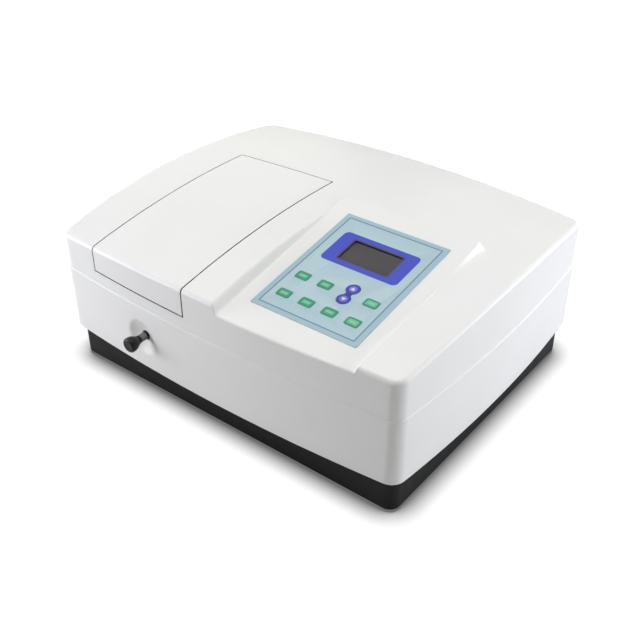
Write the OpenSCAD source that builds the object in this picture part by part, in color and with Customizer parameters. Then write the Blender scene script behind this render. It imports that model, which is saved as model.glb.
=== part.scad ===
// Bench spectrophotometer with a sloping keypad console, a hinged sample
// lid and a four-position cell changer worked by a pull rod.
// +X is the operator's right, -Y the front, +Z up. The origin is on the
// bench under the centre of the whole instrument's box, knob included.
// The modules are written about the centre of the case's footprint, and each
// part is moved back by shift_y. All lengths are millimetres.

/* [Case] */
// Half width of the case at its corners
case_half_w = 225.7; // [220:0.1:235]
// Half depth of the case at its corners
case_half_d = 179.7; // [175:0.1:190]
// Outward bow of each side wall
bow_x = 8.4; // [4:0.1:12]
// Outward bow of the front and back walls
bow_y = 10.4; // [4:0.1:12]
// Corner radius of the case in plan
case_corner_r = 16; // [12:1:22]
// Wall thickness of the mouldings
wall = 3; // [2.5:0.5:3.5]
// Height of the joint line between lower case and cover
seam_z = 120.5; // [116:0.5:124]
// Bottom edge of the lower case
skirt_z = 42.4; // [41:0.1:48]
// Set-back of the cover behind the lower case at the joint line
step = 1; // [0.5:0.1:1.5]

/* [Crown] */
// Height of the highest point of the crowned top
crown_z = 189.5; // [186:0.5:192]
// Radius of the crown seen from the front
crown_rx = 2919; // [2500:1:3500]
// Radius of the crown seen from the side
crown_ry = 1087; // [1000:1:1200]
// Position of the crown's top along X
crown_x = 7; // [0:1:12]
// Position of the crown's top along Y
crown_y = 26.7; // [15:0.1:35]

/* [Console] */
// Slope of the console as rise over run
console_slope = 0.175; // [0.15:0.005:0.19]
// Height of the console plane at the front edge
console_front_z = 157; // [155:0.5:159]
// Half width of the console beside the overlay's centre
console_half_w = 83.4; // [82:0.1:84]
// Splay of the console's sides, in degrees
console_splay = 1.5; // [0:0.1:2]
// Distance from the overlay's centre to the console's back edge
console_back = 106.5; // [100:0.5:110]
// Half width of the console's raised part on the right, beside the overlay's centre
raised_half_w = 85; // [84:0.1:86]
// Splay of the raised part's right side, in degrees: it closes in towards the back
raised_splay = -2.8; // [-4:0.1:0]
// Distance from the overlay's centre to the raised part's back edge
raised_back = 109.3; // [106:0.1:110]
// Draft of the sunken walls of the console, in degrees
sunken_draft = 16; // [5:1:20]
// Draft of the raised walls of the console, in degrees
raised_draft = 27; // [10:1:33]
// Width of the keypad overlay
overlay_w = 127.2; // [120:0.1:130]
// Length of the keypad overlay along the slope
overlay_l = 163.8; // [155:0.1:168]

/* [Sample lid] */
// Left edge of the lid
lid_left = -167.7; // [-170:0.1:-165]
// Right edge of the lid
lid_right = -31.1; // [-34:0.1:-29]
// Back edge of the lid
lid_back = 58.7; // [56:0.1:62]
// Bottom edge of the lid's front flap
flap_z = 135.7; // [132:0.1:140]
// Gap round the lid
lid_gap = 1.2; // [0.6:0.1:1.4]
// Height of the lid's hinge axis
hinge_z = 179.5; // [178.5:0.1:180]
// Distance of the lid's hinge axis behind the centre
hinge_y = 46; // [45:0.5:47]

/* [Sample handling] */
// Height of the light beam
beam_z = 107; // [104:0.5:110]
// Position of the light beam along Y
beam_y = -55; // [-58:0.5:-50]
// Distance between neighbouring cells
cell_pitch = 20; // [18:0.5:20]
// Side of a cell
cell_w = 12.5; // [12.4:0.1:12.6]
// Centre of the pull rod along X
rod_x = -97; // [-100:0.5:-94]
// Height of the pull rod
rod_z = 81; // [80:0.5:82]

/* [Base] */
// Half width of the base pan
pan_half_w = 220; // [215:0.5:220]
// Half depth of the base pan
pan_half_d = 173.2; // [168:0.1:173.5]
// Height of the feet
foot_h = 4; // [3:0.5:6]
// Distance from the middle of the whole box to the middle of the footprint
shift_y = 9.45; // [8:0.01:14]

/* [Hidden] */
$fn = 48;
overlap = 0.01; // makes touching shapes join

cover_white = [0.95, 0.95, 0.94];
black = [0.1, 0.1, 0.1];
board_green = [0.1, 0.35, 0.2];
motor_grey = [0.25, 0.25, 0.27];
mono_grey = [0.3, 0.3, 0.31];

/* ---- helpers ---- */
// upright box between two opposite corners
module block(low, high) {
  translate(low) cube(high - low);
}
// upright box on a plan rectangle [[x1, y1], [x2, y2]], drawn in by inset
module slab(rect, z1, z2, inset = 0) {
  block([rect[0].x + inset, rect[0].y + inset, z1], [rect[1].x - inset, rect[1].y - inset, z2]);
}
// cylinders that start at a point and run up, right, back or forwards
module cyl_up(start, r, h) { translate(start) cylinder(r = r, h = h); }
module cyl_right(start, r, h) { translate(start) rotate([0, 90, 0]) cylinder(r = r, h = h); }
module cyl_back(start, r, h) { translate(start) rotate([-90, 0, 0]) cylinder(r = r, h = h); }
module cyl_front(start, r, h) { translate(start) rotate([90, 0, 0]) cylinder(r = r, h = h); }
// straight round bar between two points
module bar(start, end, r) {
  along = end - start;
  length = norm(along);
  translate(start)
    rotate([0, acos(along.z / length), atan2(along.y, along.x)])
      cylinder(r = r, h = length);
}
// copies at the four points (+-x, +-y)
module at_corners(x, y) {
  for (sx = [-1, 1], sy = [-1, 1]) translate([sx * x, sy * y, 0]) children();
}
// copies in a straight row
module row(count, pitch) {
  for (k = [0:count - 1]) translate(k * pitch) children();
}
// copies turned about Z
module turned(count, angle, first = 0) {
  for (k = [0:count - 1]) rotate([0, 0, first + k * angle]) children();
}
// upright block, centred on the axis, with true round corners
module round_block(half_w, half_d, z1, z2, r) {
  block([r - half_w, -half_d, z1], [half_w - r, half_d, z2]);
  block([-half_w, r - half_d, z1], [half_w, half_d - r, z2]);
  at_corners(half_w - r, half_d - r) cyl_up([0, 0, z1], r, z2 - z1);
}

/* ---- plan of the case ---- */
wall_steps = 10;  // steps in half a wall
corner_steps = 6; // steps round a corner

// right front quadrant of the bowed, round-cornered plan, drawn in by inset:
// half the front wall, the corner, then half the right wall.
// Each wall is a parabola moved outwards by the corner radius.
function bowed_quadrant(inset) =
  let (r = max(case_corner_r - inset, 1),
       w = case_half_w - inset - r,
       d = case_half_d - inset - r,
       front_angle = atan(2 * bow_y / w),
       side_angle = atan(2 * bow_x / d))
  concat(
    [for (k = [0:wall_steps])
      let (u = k / wall_steps, slope = 2 * bow_y * u / w, slant = sqrt(1 + slope * slope))
      [u * w + r * slope / slant, -(d + bow_y * (1 - u * u)) - r / slant]],
    [for (k = [1:corner_steps - 1])
      let (a = -90 + front_angle + (90 - front_angle - side_angle) * k / corner_steps)
      [w + r * cos(a), -d + r * sin(a)]],
    [for (k = [0:wall_steps])
      let (v = -1 + k / wall_steps, slope = 2 * bow_x * v / d, slant = sqrt(1 + slope * slope))
      [w + bow_x * (1 - v * v) + r / slant, v * d + r * slope / slant]]);
function flipped(points, sx, sy) = [for (p = points) [sx * p.x, sy * p.y]];
function reversed(points) = [for (k = [len(points) - 1:-1:0]) points[k]];
function without_first(points) = [for (k = [1:len(points) - 1]) points[k]];
function without_last(points) = [for (k = [0:len(points) - 2]) points[k]];
function bowed_outline(inset) =
  let (quadrant = bowed_quadrant(inset))
  concat(
    quadrant,
    without_first(reversed(flipped(quadrant, 1, -1))),
    without_first(flipped(quadrant, -1, -1)),
    without_last(without_first(reversed(flipped(quadrant, -1, 1)))));

module plan(inset, z1, z2) {
  translate([0, 0, z1]) linear_extrude(z2 - z1) polygon(bowed_outline(inset));
}
module ring(outer_inset, inner_inset, z1, z2) {
  difference() {
    plan(outer_inset, z1, z2);
    plan(inner_inset, z1 - 1, z2 + 1);
  }
}

/* ---- crown and console surfaces ---- */
above_z = 215; // clear above the whole case
console_angle = atan(console_slope);
console_front_y = -188;
overlay_x = 96.2;
overlay_y = -75.4;

// height of the console plane at a depth y
function console_z(y) = console_front_z + console_slope * (y - console_front_y);

// everything below the crowned top, lowered by drop: a slice of a torus
module crown_solid(drop) {
  translate([crown_x, crown_y, crown_z - drop - crown_rx])
    rotate([90, 0, 0]) rotate([0, 0, 84])
      rotate_extrude(angle = 12, $fn = 720) intersection() {
        translate([crown_rx - crown_ry, 0]) circle(r = crown_ry, $fn = 720);
        translate([crown_rx - 150, -235]) square([160, 470]);
      }
}
// everything below the console plane, lowered by drop
module under_console(drop) {
  translate([0, 0, console_z(0) - drop / cos(console_angle)])
    rotate([console_angle, 0, 0]) block([-260, -300, -130], [260, 300, 0]);
}
// frame of the console: origin at the overlay's centre, Z square to the slope
module on_console() {
  translate([overlay_x, overlay_y, console_z(overlay_y)]) rotate([console_angle, 0, 0]) children();
}
// space between the console's side and back walls, grown by grow
module console_space(grow, side_draft, back_draft, right, right_splay, back) {
  on_console() intersection() {
    translate([-console_half_w - grow, 0, 0])
      rotate([0, 0, console_splay]) rotate([0, -side_draft, 0])
        block([0, -300, -120], [400, 300, 120]);
    translate([right + grow, 0, 0])
      rotate([0, 0, -right_splay]) rotate([0, side_draft, 0])
        block([-400, -300, -120], [0, 300, 120]);
    translate([0, back + grow, 0])
      rotate([back_draft, 0, 0]) block([-300, -400, -120], [300, 0, 120]);
  }
}
module sunken(grow) {
  console_space(grow, sunken_draft, 0, console_half_w, console_splay, console_back);
}
module raised(grow) {
  console_space(grow, -raised_draft, 26, raised_half_w, raised_splay, raised_back);
}

/* ---- case ---- */
floor_z = foot_h + 2; // inside of the pan's floor
pan_top = 60;
foot_x = 185;
foot_y = 140;
stud_r = 2.2; // studs of the feet, and holes in the pan
post_x = 205; // posts for the case screws
post_y = 120;
post_r = 6;
lip_inset = wall + step + 0.2; // outside of the joint's locating lip
bushing_seat_y = -174;
bushing_r = 5.5;
panel_in_y = 174; // inner and outer faces of the rear panel
panel_out_y = 176;

module base_pan() {
  color([0.11, 0.11, 0.11]) {
    difference() {
      round_block(pan_half_w, pan_half_d, foot_h, pan_top, 12);
      round_block(pan_half_w - 2, pan_half_d - 2, floor_z, pan_top + 1, 10);
      at_corners(foot_x, foot_y) cylinder(r = stud_r, h = 20);
      row(10, [12, 0, 0]) block([-60, 60, 0], [-54, 110, 20]);
      at_corners(post_x, post_y) cylinder(r = stud_r, h = 20);
    }
    // welded corner posts that carry the case screws
    at_corners(post_x, post_y) difference() {
      cyl_up([0, 0, floor_z], post_r, pan_top - floor_z);
      cylinder(r = stud_r, h = 70);
    }
  }
}
module rubber_feet() {
  color([0.06, 0.06, 0.06]) at_corners(foot_x, foot_y) difference() {
    union() {
      cylinder(r = 12, h = foot_h);
      cyl_up([0, 0, foot_h], stud_r, 2);
    }
    cyl_up([0, 0, -1], 5, 2.5);
  }
}
module case_screws() {
  color("silver") at_corners(post_x, post_y) {
    cyl_up([0, 0, foot_h - 1.6], 4.2, 1.6);
    cyl_up([0, 0, foot_h], 2, 66);
  }
}
module lower_case() {
  color([0.93, 0.93, 0.92]) difference() {
    union() {
      ring(0, wall, skirt_z, seam_z);
      // ledge that sits on the pan
      difference() {
        plan(wall - overlap, pan_top, pan_top + 3);
        block([-200, -164, 50], [200, 164, 70]);
      }
      // locating lip of the joint
      ring(wall - overlap, lip_inset + 2, 112, 115);
      ring(lip_inset, lip_inset + 2, 112, 126);
      // bosses for the case screws
      at_corners(post_x, post_y) cyl_up([0, 0, pan_top], post_r, 14);
      // backing of the dished recess round the pull rod
      intersection() {
        cyl_front([rod_x, bushing_seat_y, rod_z], 24, 20);
        plan(1, 40, 120);
      }
    }
    // dished recess: a shallow spherical bowl
    translate([rod_x, -218.7, rod_z]) sphere(r = 37, $fn = 96);
    cyl_front([rod_x, -160, rod_z], bushing_r, 40);
    // opening behind which the rear panel sits
    block([-66, 150, 64], [192, 200, 114]);
    at_corners(post_x, post_y) cyl_up([0, 0, pan_top - 1], 2, 11);
    // clearance of the ledge where the rear panel comes
    block([-75, 168, 50], [200, panel_out_y + 0.1, 118]);
  }
}
module lid_space(grow) {
  block([lid_left - grow, -260, flap_z - grow], [lid_right + grow, lid_back + grow, 260]);
}
module upper_cover() {
  color(cover_white) {
    difference() {
      // outside
      intersection() {
        plan(step, seam_z, above_z);
        union() {
          difference() {
            crown_solid(0);
            difference() {
              sunken(0);
              under_console(0);
            }
          }
          intersection() {
            raised(0);
            under_console(0);
          }
        }
      }
      // inside
      intersection() {
        plan(step + wall, seam_z - 1, above_z);
        union() {
          intersection() {
            crown_solid(wall);
            under_console(wall);
          }
          difference() {
            crown_solid(wall);
            sunken(wall);
          }
          intersection() {
            raised(-wall);
            under_console(wall);
          }
        }
      }
      lid_space(lid_gap);
      // undercut behind the lid, swept about its hinge axis
      translate([lid_left - lid_gap, hinge_y, hinge_z]) rotate([0, 90, 0])
        cylinder(r1 = 14.1, r2 = 16.4, h = lid_right - lid_left + 2 * lid_gap, $fn = 96);
      on_console() {
        slab(display_opening, -12, 2);
        key_holes(0.3, -8, 4);
      }
    }
    // posts that carry the keypad board
    on_console() at_corners(keypad_post_x, keypad_post_y) difference() {
      cyl_up([0, 0, keypad_top], 3.5, 5.2);
      cyl_up([0, 0, keypad_top - 1], 1.2, 4);
    }
  }
}
module rear_panel() {
  color([0.2, 0.2, 0.21]) difference() {
    block([-74, panel_in_y, 62], [199, panel_out_y, 116]);
    cyl_back([fan_x, 170, fan_z], fan_bore_r, 10);
    block([inlet_x - 14, 170, 65.5], [inlet_x + 14, 180, 111.5]);
    port_block(10, 6, 170, 180);
    for (x = [-1, 1], z = [-1, 1])
      cyl_back([fan_x + x * fan_screw_x, 170, fan_z + z * fan_screw_z], fan_screw_r, 10);
    row(8, [4.5, 0, 0]) block([-10, 170, 72], [-8, 180, 104]);
  }
}

/* ---- sample lid and compartment ---- */
lid_wall = 2.5;
knuckle_r = 3.5;
pin_r = 1.5;
rib_rect = [[-163, -177], [-36, 40]];
tub_rect = [[-159.5, -167.5], [-34.5, 40.5]];
tub_wall = 2.5;
tub_bottom = 67.5;
tub_top = 157;
tub_floor_z = tub_bottom + tub_wall;
seal_top = 160;

module hinge_cyl(x, r, h) { cyl_right([x, hinge_y, hinge_z], r, h); }
module sample_lid() {
  color(cover_white) {
    difference() {
      intersection() {
        plan(step, seam_z, above_z);
        crown_solid(0);
        lid_space(0);
      }
      intersection() {
        plan(step + lid_wall, seam_z - 1, above_z);
        crown_solid(lid_wall);
        block([-260, -260, 100], [0, lid_back + 1, 200]);
      }
    }
    // light-trap rib that closes on the seal
    difference() {
      intersection() {
        slab(rib_rect, seal_top + 0.2, 200);
        crown_solid(lid_wall - 0.1);
      }
      slab(rib_rect, 150, 210, 2);
    }
    // hinge knuckles
    for (x = [-150, -68]) difference() {
      union() {
        hinge_cyl(x, knuckle_r, 16);
        intersection() {
          block([x, hinge_y - knuckle_r, hinge_z], [x + 16, hinge_y + knuckle_r, 200]);
          crown_solid(lid_wall - 0.1);
        }
      }
      hinge_cyl(x - 1, pin_r + 0.05, 18);
    }
  }
}
module lid_hinge_pin() {
  color("silver") hinge_cyl(-154, pin_r, 110);
}
module hinge_bracket() {
  color([0.7, 0.7, 0.7]) difference() {
    union() {
      for (x = [-132, -73]) {
        hinge_cyl(x, knuckle_r, 3);
        block([x, hinge_y - knuckle_r, tub_top], [x + 3, hinge_y + knuckle_r, hinge_z]);
      }
      block([-132, hinge_y - knuckle_r, tub_top], [-70, hinge_y + 5, tub_top + 1.5]);
    }
    hinge_cyl(-140, pin_r, 80);
  }
}
module lid_seal() {
  color([0.05, 0.05, 0.05]) difference() {
    block([-166, -176, tub_top], [-33, 42, seal_top]);
    block([-159, -168, 150], [-40, 36, 170]);
  }
}
module compartment_tub() {
  color([0.08, 0.08, 0.08]) {
    difference() {
      union() {
        slab(tub_rect, tub_bottom, tub_top);
        block([-170, -176, tub_top - 3], [-26, 54, tub_top]);
      }
      slab(tub_rect, tub_floor_z, 160, tub_wall);
      // beam windows and the hole for the pull rod
      cyl_right([-170, beam_y, beam_z], 7, 150);
      cyl_front([rod_x, -160, rod_z], 4.5, 20);
    }
    // legs down to the pan
    for (x = [-150, -62], y = [-150, 30])
      cyl_up([x, y, floor_z], 6, tub_bottom - floor_z + overlap);
  }
}

/* ---- cell changer ---- */
rail_x = 16; // rails either side of the rod
rail_z = rod_z + 2;
rail_r = 3;
last_cell_y = beam_y + 3 * cell_pitch;
cell_rect = [[-cell_w / 2, -cell_w / 2], [cell_w / 2, cell_w / 2]];
cell_floor_z = 92;
rod_r = 3;
rod_back_y = beam_y - 2;
bushing_front_y = bushing_seat_y - 8.9;
knob_back_y = -192;
knob_bore = 11;
// half section of the knob: [radius, distance forward of its back face]
knob_profile = [
  [0, 0], [4.3, 0], [4.7, 1.2], [5.15, 3.4], [6.4, 6], [7.85, 8.8], [8.4, 11], [8.5, 12.2],
  [8.5, 14.2], [7.9, 16], [6, 17], [0, 17]];

// copies at the first cells, counted from the front, with the origin on the cell's axis
module at_cells(count) {
  translate([rod_x, beam_y, 0]) row(count, [0, cell_pitch, 0]) children();
}
module guide_rails() {
  color("silver") for (x = [-rail_x, rail_x])
    cyl_back([rod_x + x, tub_rect[0].y + tub_wall, rail_z], rail_r,
      tub_rect[1].y - tub_rect[0].y - 2 * tub_wall);
}
module cell_carriage() {
  color([0.1, 0.1, 0.11]) difference() {
    union() {
      block([rod_x - 24, beam_y - 14, 74.5], [rod_x + 24, last_cell_y + 14, 90]);
      block([rod_x - 9.5, beam_y - 12, 89], [rod_x + 9.5, last_cell_y + 12, 126]);
    }
    for (x = [-rail_x, rail_x]) cyl_back([rod_x + x, beam_y - 20, rail_z], rail_r + 0.05, 110);
    at_cells(4) slab(cell_rect, cell_floor_z, 130, -0.1);
    at_cells(4) cyl_right([-20, 0, beam_z], 4, 40);
    cyl_front([rod_x, rod_back_y, rod_z], rod_r, 20);
  }
}
module cuvettes() {
  color([0.75, 0.88, 0.92, 0.5]) at_cells(3) difference() {
    slab(cell_rect, cell_floor_z, cell_floor_z + 45);
    slab(cell_rect, cell_floor_z + 1.5, cell_floor_z + 46.5, 1.25);
  }
}
module pull_rod() {
  // the rod, with a collar against the knob that stops 1.5 mm short of the bushing
  collar_y = bushing_front_y - 1.5;
  color("silver") union() {
    cyl_front([rod_x, rod_back_y, rod_z], rod_r, rod_back_y - knob_back_y + knob_bore);
    cyl_front([rod_x, collar_y, rod_z], 4.4, collar_y - knob_back_y);
  }
}
module rod_knob() {
  color([0.07, 0.07, 0.07]) translate([rod_x, knob_back_y, rod_z]) rotate([90, 0, 0]) difference() {
    rotate_extrude() polygon(knob_profile);
    cyl_up([0, 0, -1], rod_r, knob_bore + 1);
  }
}
module rod_bushing() {
  color(black) difference() {
    union() {
      cyl_front([rod_x, bushing_seat_y, rod_z], bushing_r, bushing_seat_y - bushing_front_y);
      cyl_front([rod_x, bushing_seat_y + 2, rod_z], 8, 2);
    }
    cyl_front([rod_x, -160, rod_z], rod_r + 0.06, 40);
  }
}
module detent_leaf() {
  color([0.75, 0.75, 0.76]) {
    block([rod_x - 4, -20, tub_floor_z], [rod_x + 4, 34, tub_floor_z + 0.6]);
    block([rod_x - 4, -20, tub_floor_z], [rod_x + 4, -19, tub_floor_z + 2.6]);
    cyl_right([rod_x - 4, -19.5, tub_floor_z + 2.4], 1.8, 8);
  }
}

/* ---- console parts, in the console's frame ---- */
key_w = 15.2;
key_d = 10.2;
round_key_r = 7.3;
// centres of the rectangular keys
keys = [
  [-41.6, -25.5], [-13.8, -25.5], [41.4, -25.5],
  [-41.6, -55.7], [-13.8, -55.7], [13.8, -55.7], [41.4, -55.7]];
// centres of the round keys
round_keys = [[14, -17.2], [14, -33.4]];
display_opening = [[-34, 11], [35, 52]]; // in the cover
display_frame = [[-30.9, 14], [31.8, 48.6]]; // in the overlay
keypad_top = -8; // upper face of the keypad board
keypad_post_x = 60;
keypad_post_y = 74;

module key_block(centre, z1, z2, grow = 0) {
  half = [key_w / 2, key_d / 2];
  slab([centre - half, centre + half], z1, z2, -grow);
}
module round_key_block(centre, z1, z2, grow = 0) {
  cyl_up([centre.x, centre.y, z1], round_key_r + grow, z2 - z1);
}
module key_holes(gap, z1, z2) {
  for (key = keys) key_block(key, z1, z2, gap);
  for (key = round_keys) round_key_block(key, z1, z2, gap);
}
module graphic_overlay() {
  color([0.69, 0.79, 0.83]) on_console() difference() {
    block([-overlay_w / 2, -overlay_l / 2, 0.02], [overlay_w / 2, overlay_l / 2, 0.8]);
    slab(display_frame, -1, 2);
    key_holes(0.2, -1, 2);
  }
}
module lcd_window() {
  color([0.3, 0.3, 0.3, 0.5]) on_console() slab(display_frame, -0.6, 0.6, 0.1);
}
module lcd_module() {
  color([0.35, 0.38, 0.33]) on_console() {
    slab(display_opening, keypad_top, -3.2, 1);
    slab(display_opening, -3.2 - overlap, -0.8, 2.5);
  }
}
// each key has a flange that holds it under the cover
module rect_key(centre) {
  color([0.24, 0.61, 0.45]) on_console() {
    key_block(centre, -5.6, 1.2);
    key_block(centre, -4.6, -3.4, 1.2);
  }
}
module round_key(centre) {
  color([0.24, 0.26, 0.65]) on_console() {
    round_key_block(centre, -5.6, 1.2);
    round_key_block(centre, -4.6, -3.4, 0.6);
  }
}
module key_mode() { rect_key(keys[0]); }
module key_func() { rect_key(keys[1]); }
module key_enter() { rect_key(keys[2]); }
module key_goto() { rect_key(keys[3]); }
module key_load() { rect_key(keys[4]); }
module key_zero() { rect_key(keys[5]); }
module key_print() { rect_key(keys[6]); }
module key_up() { round_key(round_keys[0]); }
module key_down() { round_key(round_keys[1]); }
module tact_switches() {
  color([0.15, 0.15, 0.16]) on_console() for (key = concat(keys, round_keys))
    slab([key, key], keypad_top, keypad_top + 1.7, -3);
}
module keypad_board() {
  color(board_green) on_console() difference() {
    block([-64, -79, keypad_top - 1.6], [64, 79, keypad_top]);
    at_corners(keypad_post_x, keypad_post_y) cyl_up([0, 0, -12], 1.3, 8);
  }
}

/* ---- electronics and rear fittings ---- */
board_top = 13.6;
fan_x = 60;
fan_z = 88;
fan_bore_r = 24;
fan_screw_x = 24; // fan screws either side of the fan's axis
fan_screw_z = 21.5;
fan_screw_r = 1.7;
fan_shaft_r = 1.5;
inlet_x = 160;
rocker_y = 173;
rocker_z = 101.5;
port_x = -36;
port_z = 88;
// course of the mains lead from the inlet, through the bench, to the power supply
lead_path = [
  [inlet_x, 152, 76], [inlet_x, 124, 76], [inlet_x, 120, 70],
  [inlet_x, 120, 46], [inlet_x, 112, 38], [inlet_x, 40, 38]];

module main_board() {
  color(board_green) {
    block([5, -160, 12], [100, -20, board_top]);
    for (x = [10, 95], y = [-155, -25]) cyl_up([x, y, floor_z], 3, 6);
    block([20, -150, board_top], [60, -140, 22]);
    block([30, -110, board_top], [62, -78, 16]);
    block([75, -120, board_top], [90, -60, 24]);
    row(5, [13, 0, 0]) cyl_up([20, -40, board_top], 4.5, 12);
  }
}
module power_supply() {
  color([0.6, 0.6, 0.6]) difference() {
    block([104, -150, floor_z], [174, 40, 52]);
    row(10, [0, 17, 0]) block([100, -140, 20], [170, -136, 44]);
  }
}
// frame of the fan: origin on the panel's inner face, Z forwards into the case
module at_fan() {
  translate([fan_x, panel_in_y, fan_z]) rotate([90, 0, 0]) children();
}
module fan_frame() {
  color(black) at_fan() {
    difference() {
      block([-30, -24.9, 0], [30, 25.5, 15]);
      cyl_up([0, 0, -1], fan_bore_r, 13.4);
      // leaves the hub and four spokes
      difference() {
        cyl_up([0, 0, 12.4], fan_bore_r, 10);
        cyl_up([0, 0, 12], 11, 12);
        turned(4, 90, 45) block([0, -2, 12], [30, 2, 24]);
      }
    }
    cyl_up([0, 0, 6], fan_shaft_r, 7);
  }
}
module fan_rotor() {
  color([0.12, 0.12, 0.12]) at_fan() {
    difference() {
      cyl_up([0, 0, 2], 10, 10);
      cyl_up([0, 0, 4], fan_shaft_r + 0.05, 9);
    }
    // seven pitched blades
    turned(7, 360 / 7) translate([9.5, 0, 7]) rotate([35, 0, 0])
      block([0, -5, -0.6], [13.5, 5, 0.6]);
  }
}
module finger_guard() {
  color("silver") translate([fan_x, panel_out_y, fan_z]) rotate([-90, 0, 0]) {
    for (r = [9, 16, 23]) rotate_extrude() translate([r, 1.2]) circle(r = 0.9, $fn = 24);
    turned(2, 90) block([-24, -1.1, 0.4], [24, 1.1, 1.4]);
    at_corners(fan_screw_x, fan_screw_z) difference() {
      cylinder(r = 3.2, h = 1.2);
      cyl_up([0, 0, -1], fan_screw_r, 3);
    }
    for (sx = [-1, 1], sy = [-1, 1])
      bar([sx * 22.2, sy * 19.7, 0.6], [sx * 14, sy * 12.4, 0.8], 0.6);
  }
}
module power_inlet() {
  translate([inlet_x, 0, 0]) {
    color([0.07, 0.07, 0.07]) difference() {
      union() {
        block([-13.8, 152, 65.7], [13.8, 178, 111.3]);
        block([-18, panel_out_y, 63.2], [18, 179, 113.8]);
      }
      // socket for the mains plug
      block([-11.5, 158, 68], [11.5, 181, 86]);
      // well of the rocker switch
      block([-8.1, 164, rocker_z - 9.6], [8.1, 181, rocker_z + 9.6]);
    }
    // three blades, the middle one higher, and the rocker's axle
    color("silver") for (blade = [[-7, 74], [0, 79], [7, 74]])
      block([blade.x - 1, 157, blade.y], [blade.x + 1, 170, blade.y + 4]);
    color("silver") cyl_right([-9, rocker_y, rocker_z], 1.2, 18);
  }
}
module rocker_switch() {
  color([0.5, 0.05, 0.05]) translate([inlet_x, rocker_y, rocker_z]) rotate([8, 0, 0]) difference() {
    union() {
      rotate([0, 90, 0]) cyl_up([0, 0, -7.6], 4, 15.2);
      // two faces of the rocker, tilted against each other
      rotate([6, 0, 0]) block([-7.6, 0, -8], [7.6, 6.5, 0]);
      rotate([-6, 0, 0]) block([-7.6, 0, 0], [7.6, 6.5, 8]);
    }
    cyl_right([-10, 0, 0], 1.25, 20);
  }
}
// box centred on the serial port in X and Z
module port_block(half_w, half_h, y1, y2) {
  block([port_x - half_w, y1, port_z - half_h], [port_x + half_w, y2, port_z + half_h]);
}
module serial_port() {
  color("silver") difference() {
    union() {
      port_block(9.5, 5.5, 166, 180);
      port_block(16, 6.5, panel_out_y, panel_out_y + 1);
    }
    port_block(8.5, 4.5, 172, 181);
  }
}
module wiring_harness() {
  color([0.5, 0.5, 0.52]) {
    // ribbon from the keypad board down to the main board
    block([28, -143.5, 22], [52, -142.3, 154.9]);
    // mains lead, with a ball at each bend
    for (k = [0:len(lead_path) - 2]) bar(lead_path[k], lead_path[k + 1], 2.6);
    for (k = [1:len(lead_path) - 2]) translate(lead_path[k]) sphere(r = 3.1);
  }
}

/* ---- optical bench ---- */
bench_z = 60;
bench_top = 64;
lamp_rect = [[70, 84], [150, 152]];
lamp_floor_z = bench_top + 2;
exit_x = 110; // beam from the lamp into the monochromator
lamp_y = 122;
mono_rect = [[-22, -110], [150, 62]];
mono_wall = 5;
mono_top = 134;
mono_floor_z = bench_top + mono_wall;
// spherical mirrors: [x, y, turn about Z]
mirrors = [[110, -92, 108.7], [131, -55, 164]];
mirror_r = 160;
grating_x = 20;
grating_y = 20;
table_top = 80;
screw_x = -40; // lead screw
screw_z = 50;
screw_r = 3;
screw_end_r = 2.5;
filter_ring_r = 18; // from the wheel's axis to its holes
filter_r = 5;
wheel_x = exit_x + filter_ring_r;

module bench_plate() {
  color([0.72, 0.73, 0.74]) difference() {
    union() {
      block([-20, -120, bench_z], [192, 158, bench_top]);
      for (x = [-10, 184], y = [-110, 150]) cyl_up([x, y, floor_z], 7, bench_z + 2 - floor_z);
      // tabs that carry the drive motor and the far end of the screw
      block([-62, 86, 30], [-18, 90, bench_top]);
      block([-30, 86, bench_z], [-18, 90, bench_top]);
      block([-56, -42, 36], [-18, -38, bench_top]);
    }
    cyl_up([grating_x, grating_y, 55], 5, 12);
    cyl_up([inlet_x, 120, 55], 6, 12);
    cyl_back([screw_x, 80, screw_z], 11, 14);
    cyl_back([screw_x, -45, screw_z], screw_r + 0.05, 14);
  }
}
module lamp_house() {
  color([0.75, 0.75, 0.76]) difference() {
    slab(lamp_rect, bench_top, 150);
    slab(lamp_rect, lamp_floor_z, 148, 2);
    cyl_back([exit_x, 80, beam_z], 9, 10);
    // vents in the top and low in the back
    row(6, [11, 0, 0]) block([80, 100, 140], [85, 140, 160]);
    row(6, [11, 0, 0]) block([80, 146, 72], [85, 160, 88]);
  }
}
module lamp_socket() {
  color([0.9, 0.88, 0.82]) translate([exit_x, lamp_y, 0]) difference() {
    union() {
      cyl_up([0, 0, lamp_floor_z], 12, 18);
      cyl_up([0, 0, lamp_floor_z + 18], 8, 6);
    }
    for (x = [-3, 3]) cyl_up([x, 0, 80], 0.7, 20);
  }
}
module lamp_bulb() {
  color([0.9, 0.9, 0.95, 0.5]) translate([exit_x, lamp_y, 0]) {
    for (x = [-3, 3]) cyl_up([x, 0, 81], 0.6, 12);
    cyl_up([0, 0, 91], 5.5, 18);
    translate([0, 0, 109]) sphere(r = 5.5);
  }
}
module condenser_lens() {
  color([0.8, 0.9, 0.95, 0.5]) translate([exit_x, 93, beam_z]) rotate([90, 0, 0]) intersection() {
    translate([0, 0, -17]) sphere(r = 20, $fn = 96);
    translate([0, 0, 17]) sphere(r = 20, $fn = 96);
    cyl_up([0, 0, -5], 9.5, 10);
  }
  // holder
  color([0.2, 0.2, 0.2]) difference() {
    block([exit_x - 13, 91, lamp_floor_z], [exit_x + 13, 96, lamp_floor_z + 54]);
    cyl_back([exit_x, 86, beam_z], 9.2, 20);
  }
}
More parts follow.
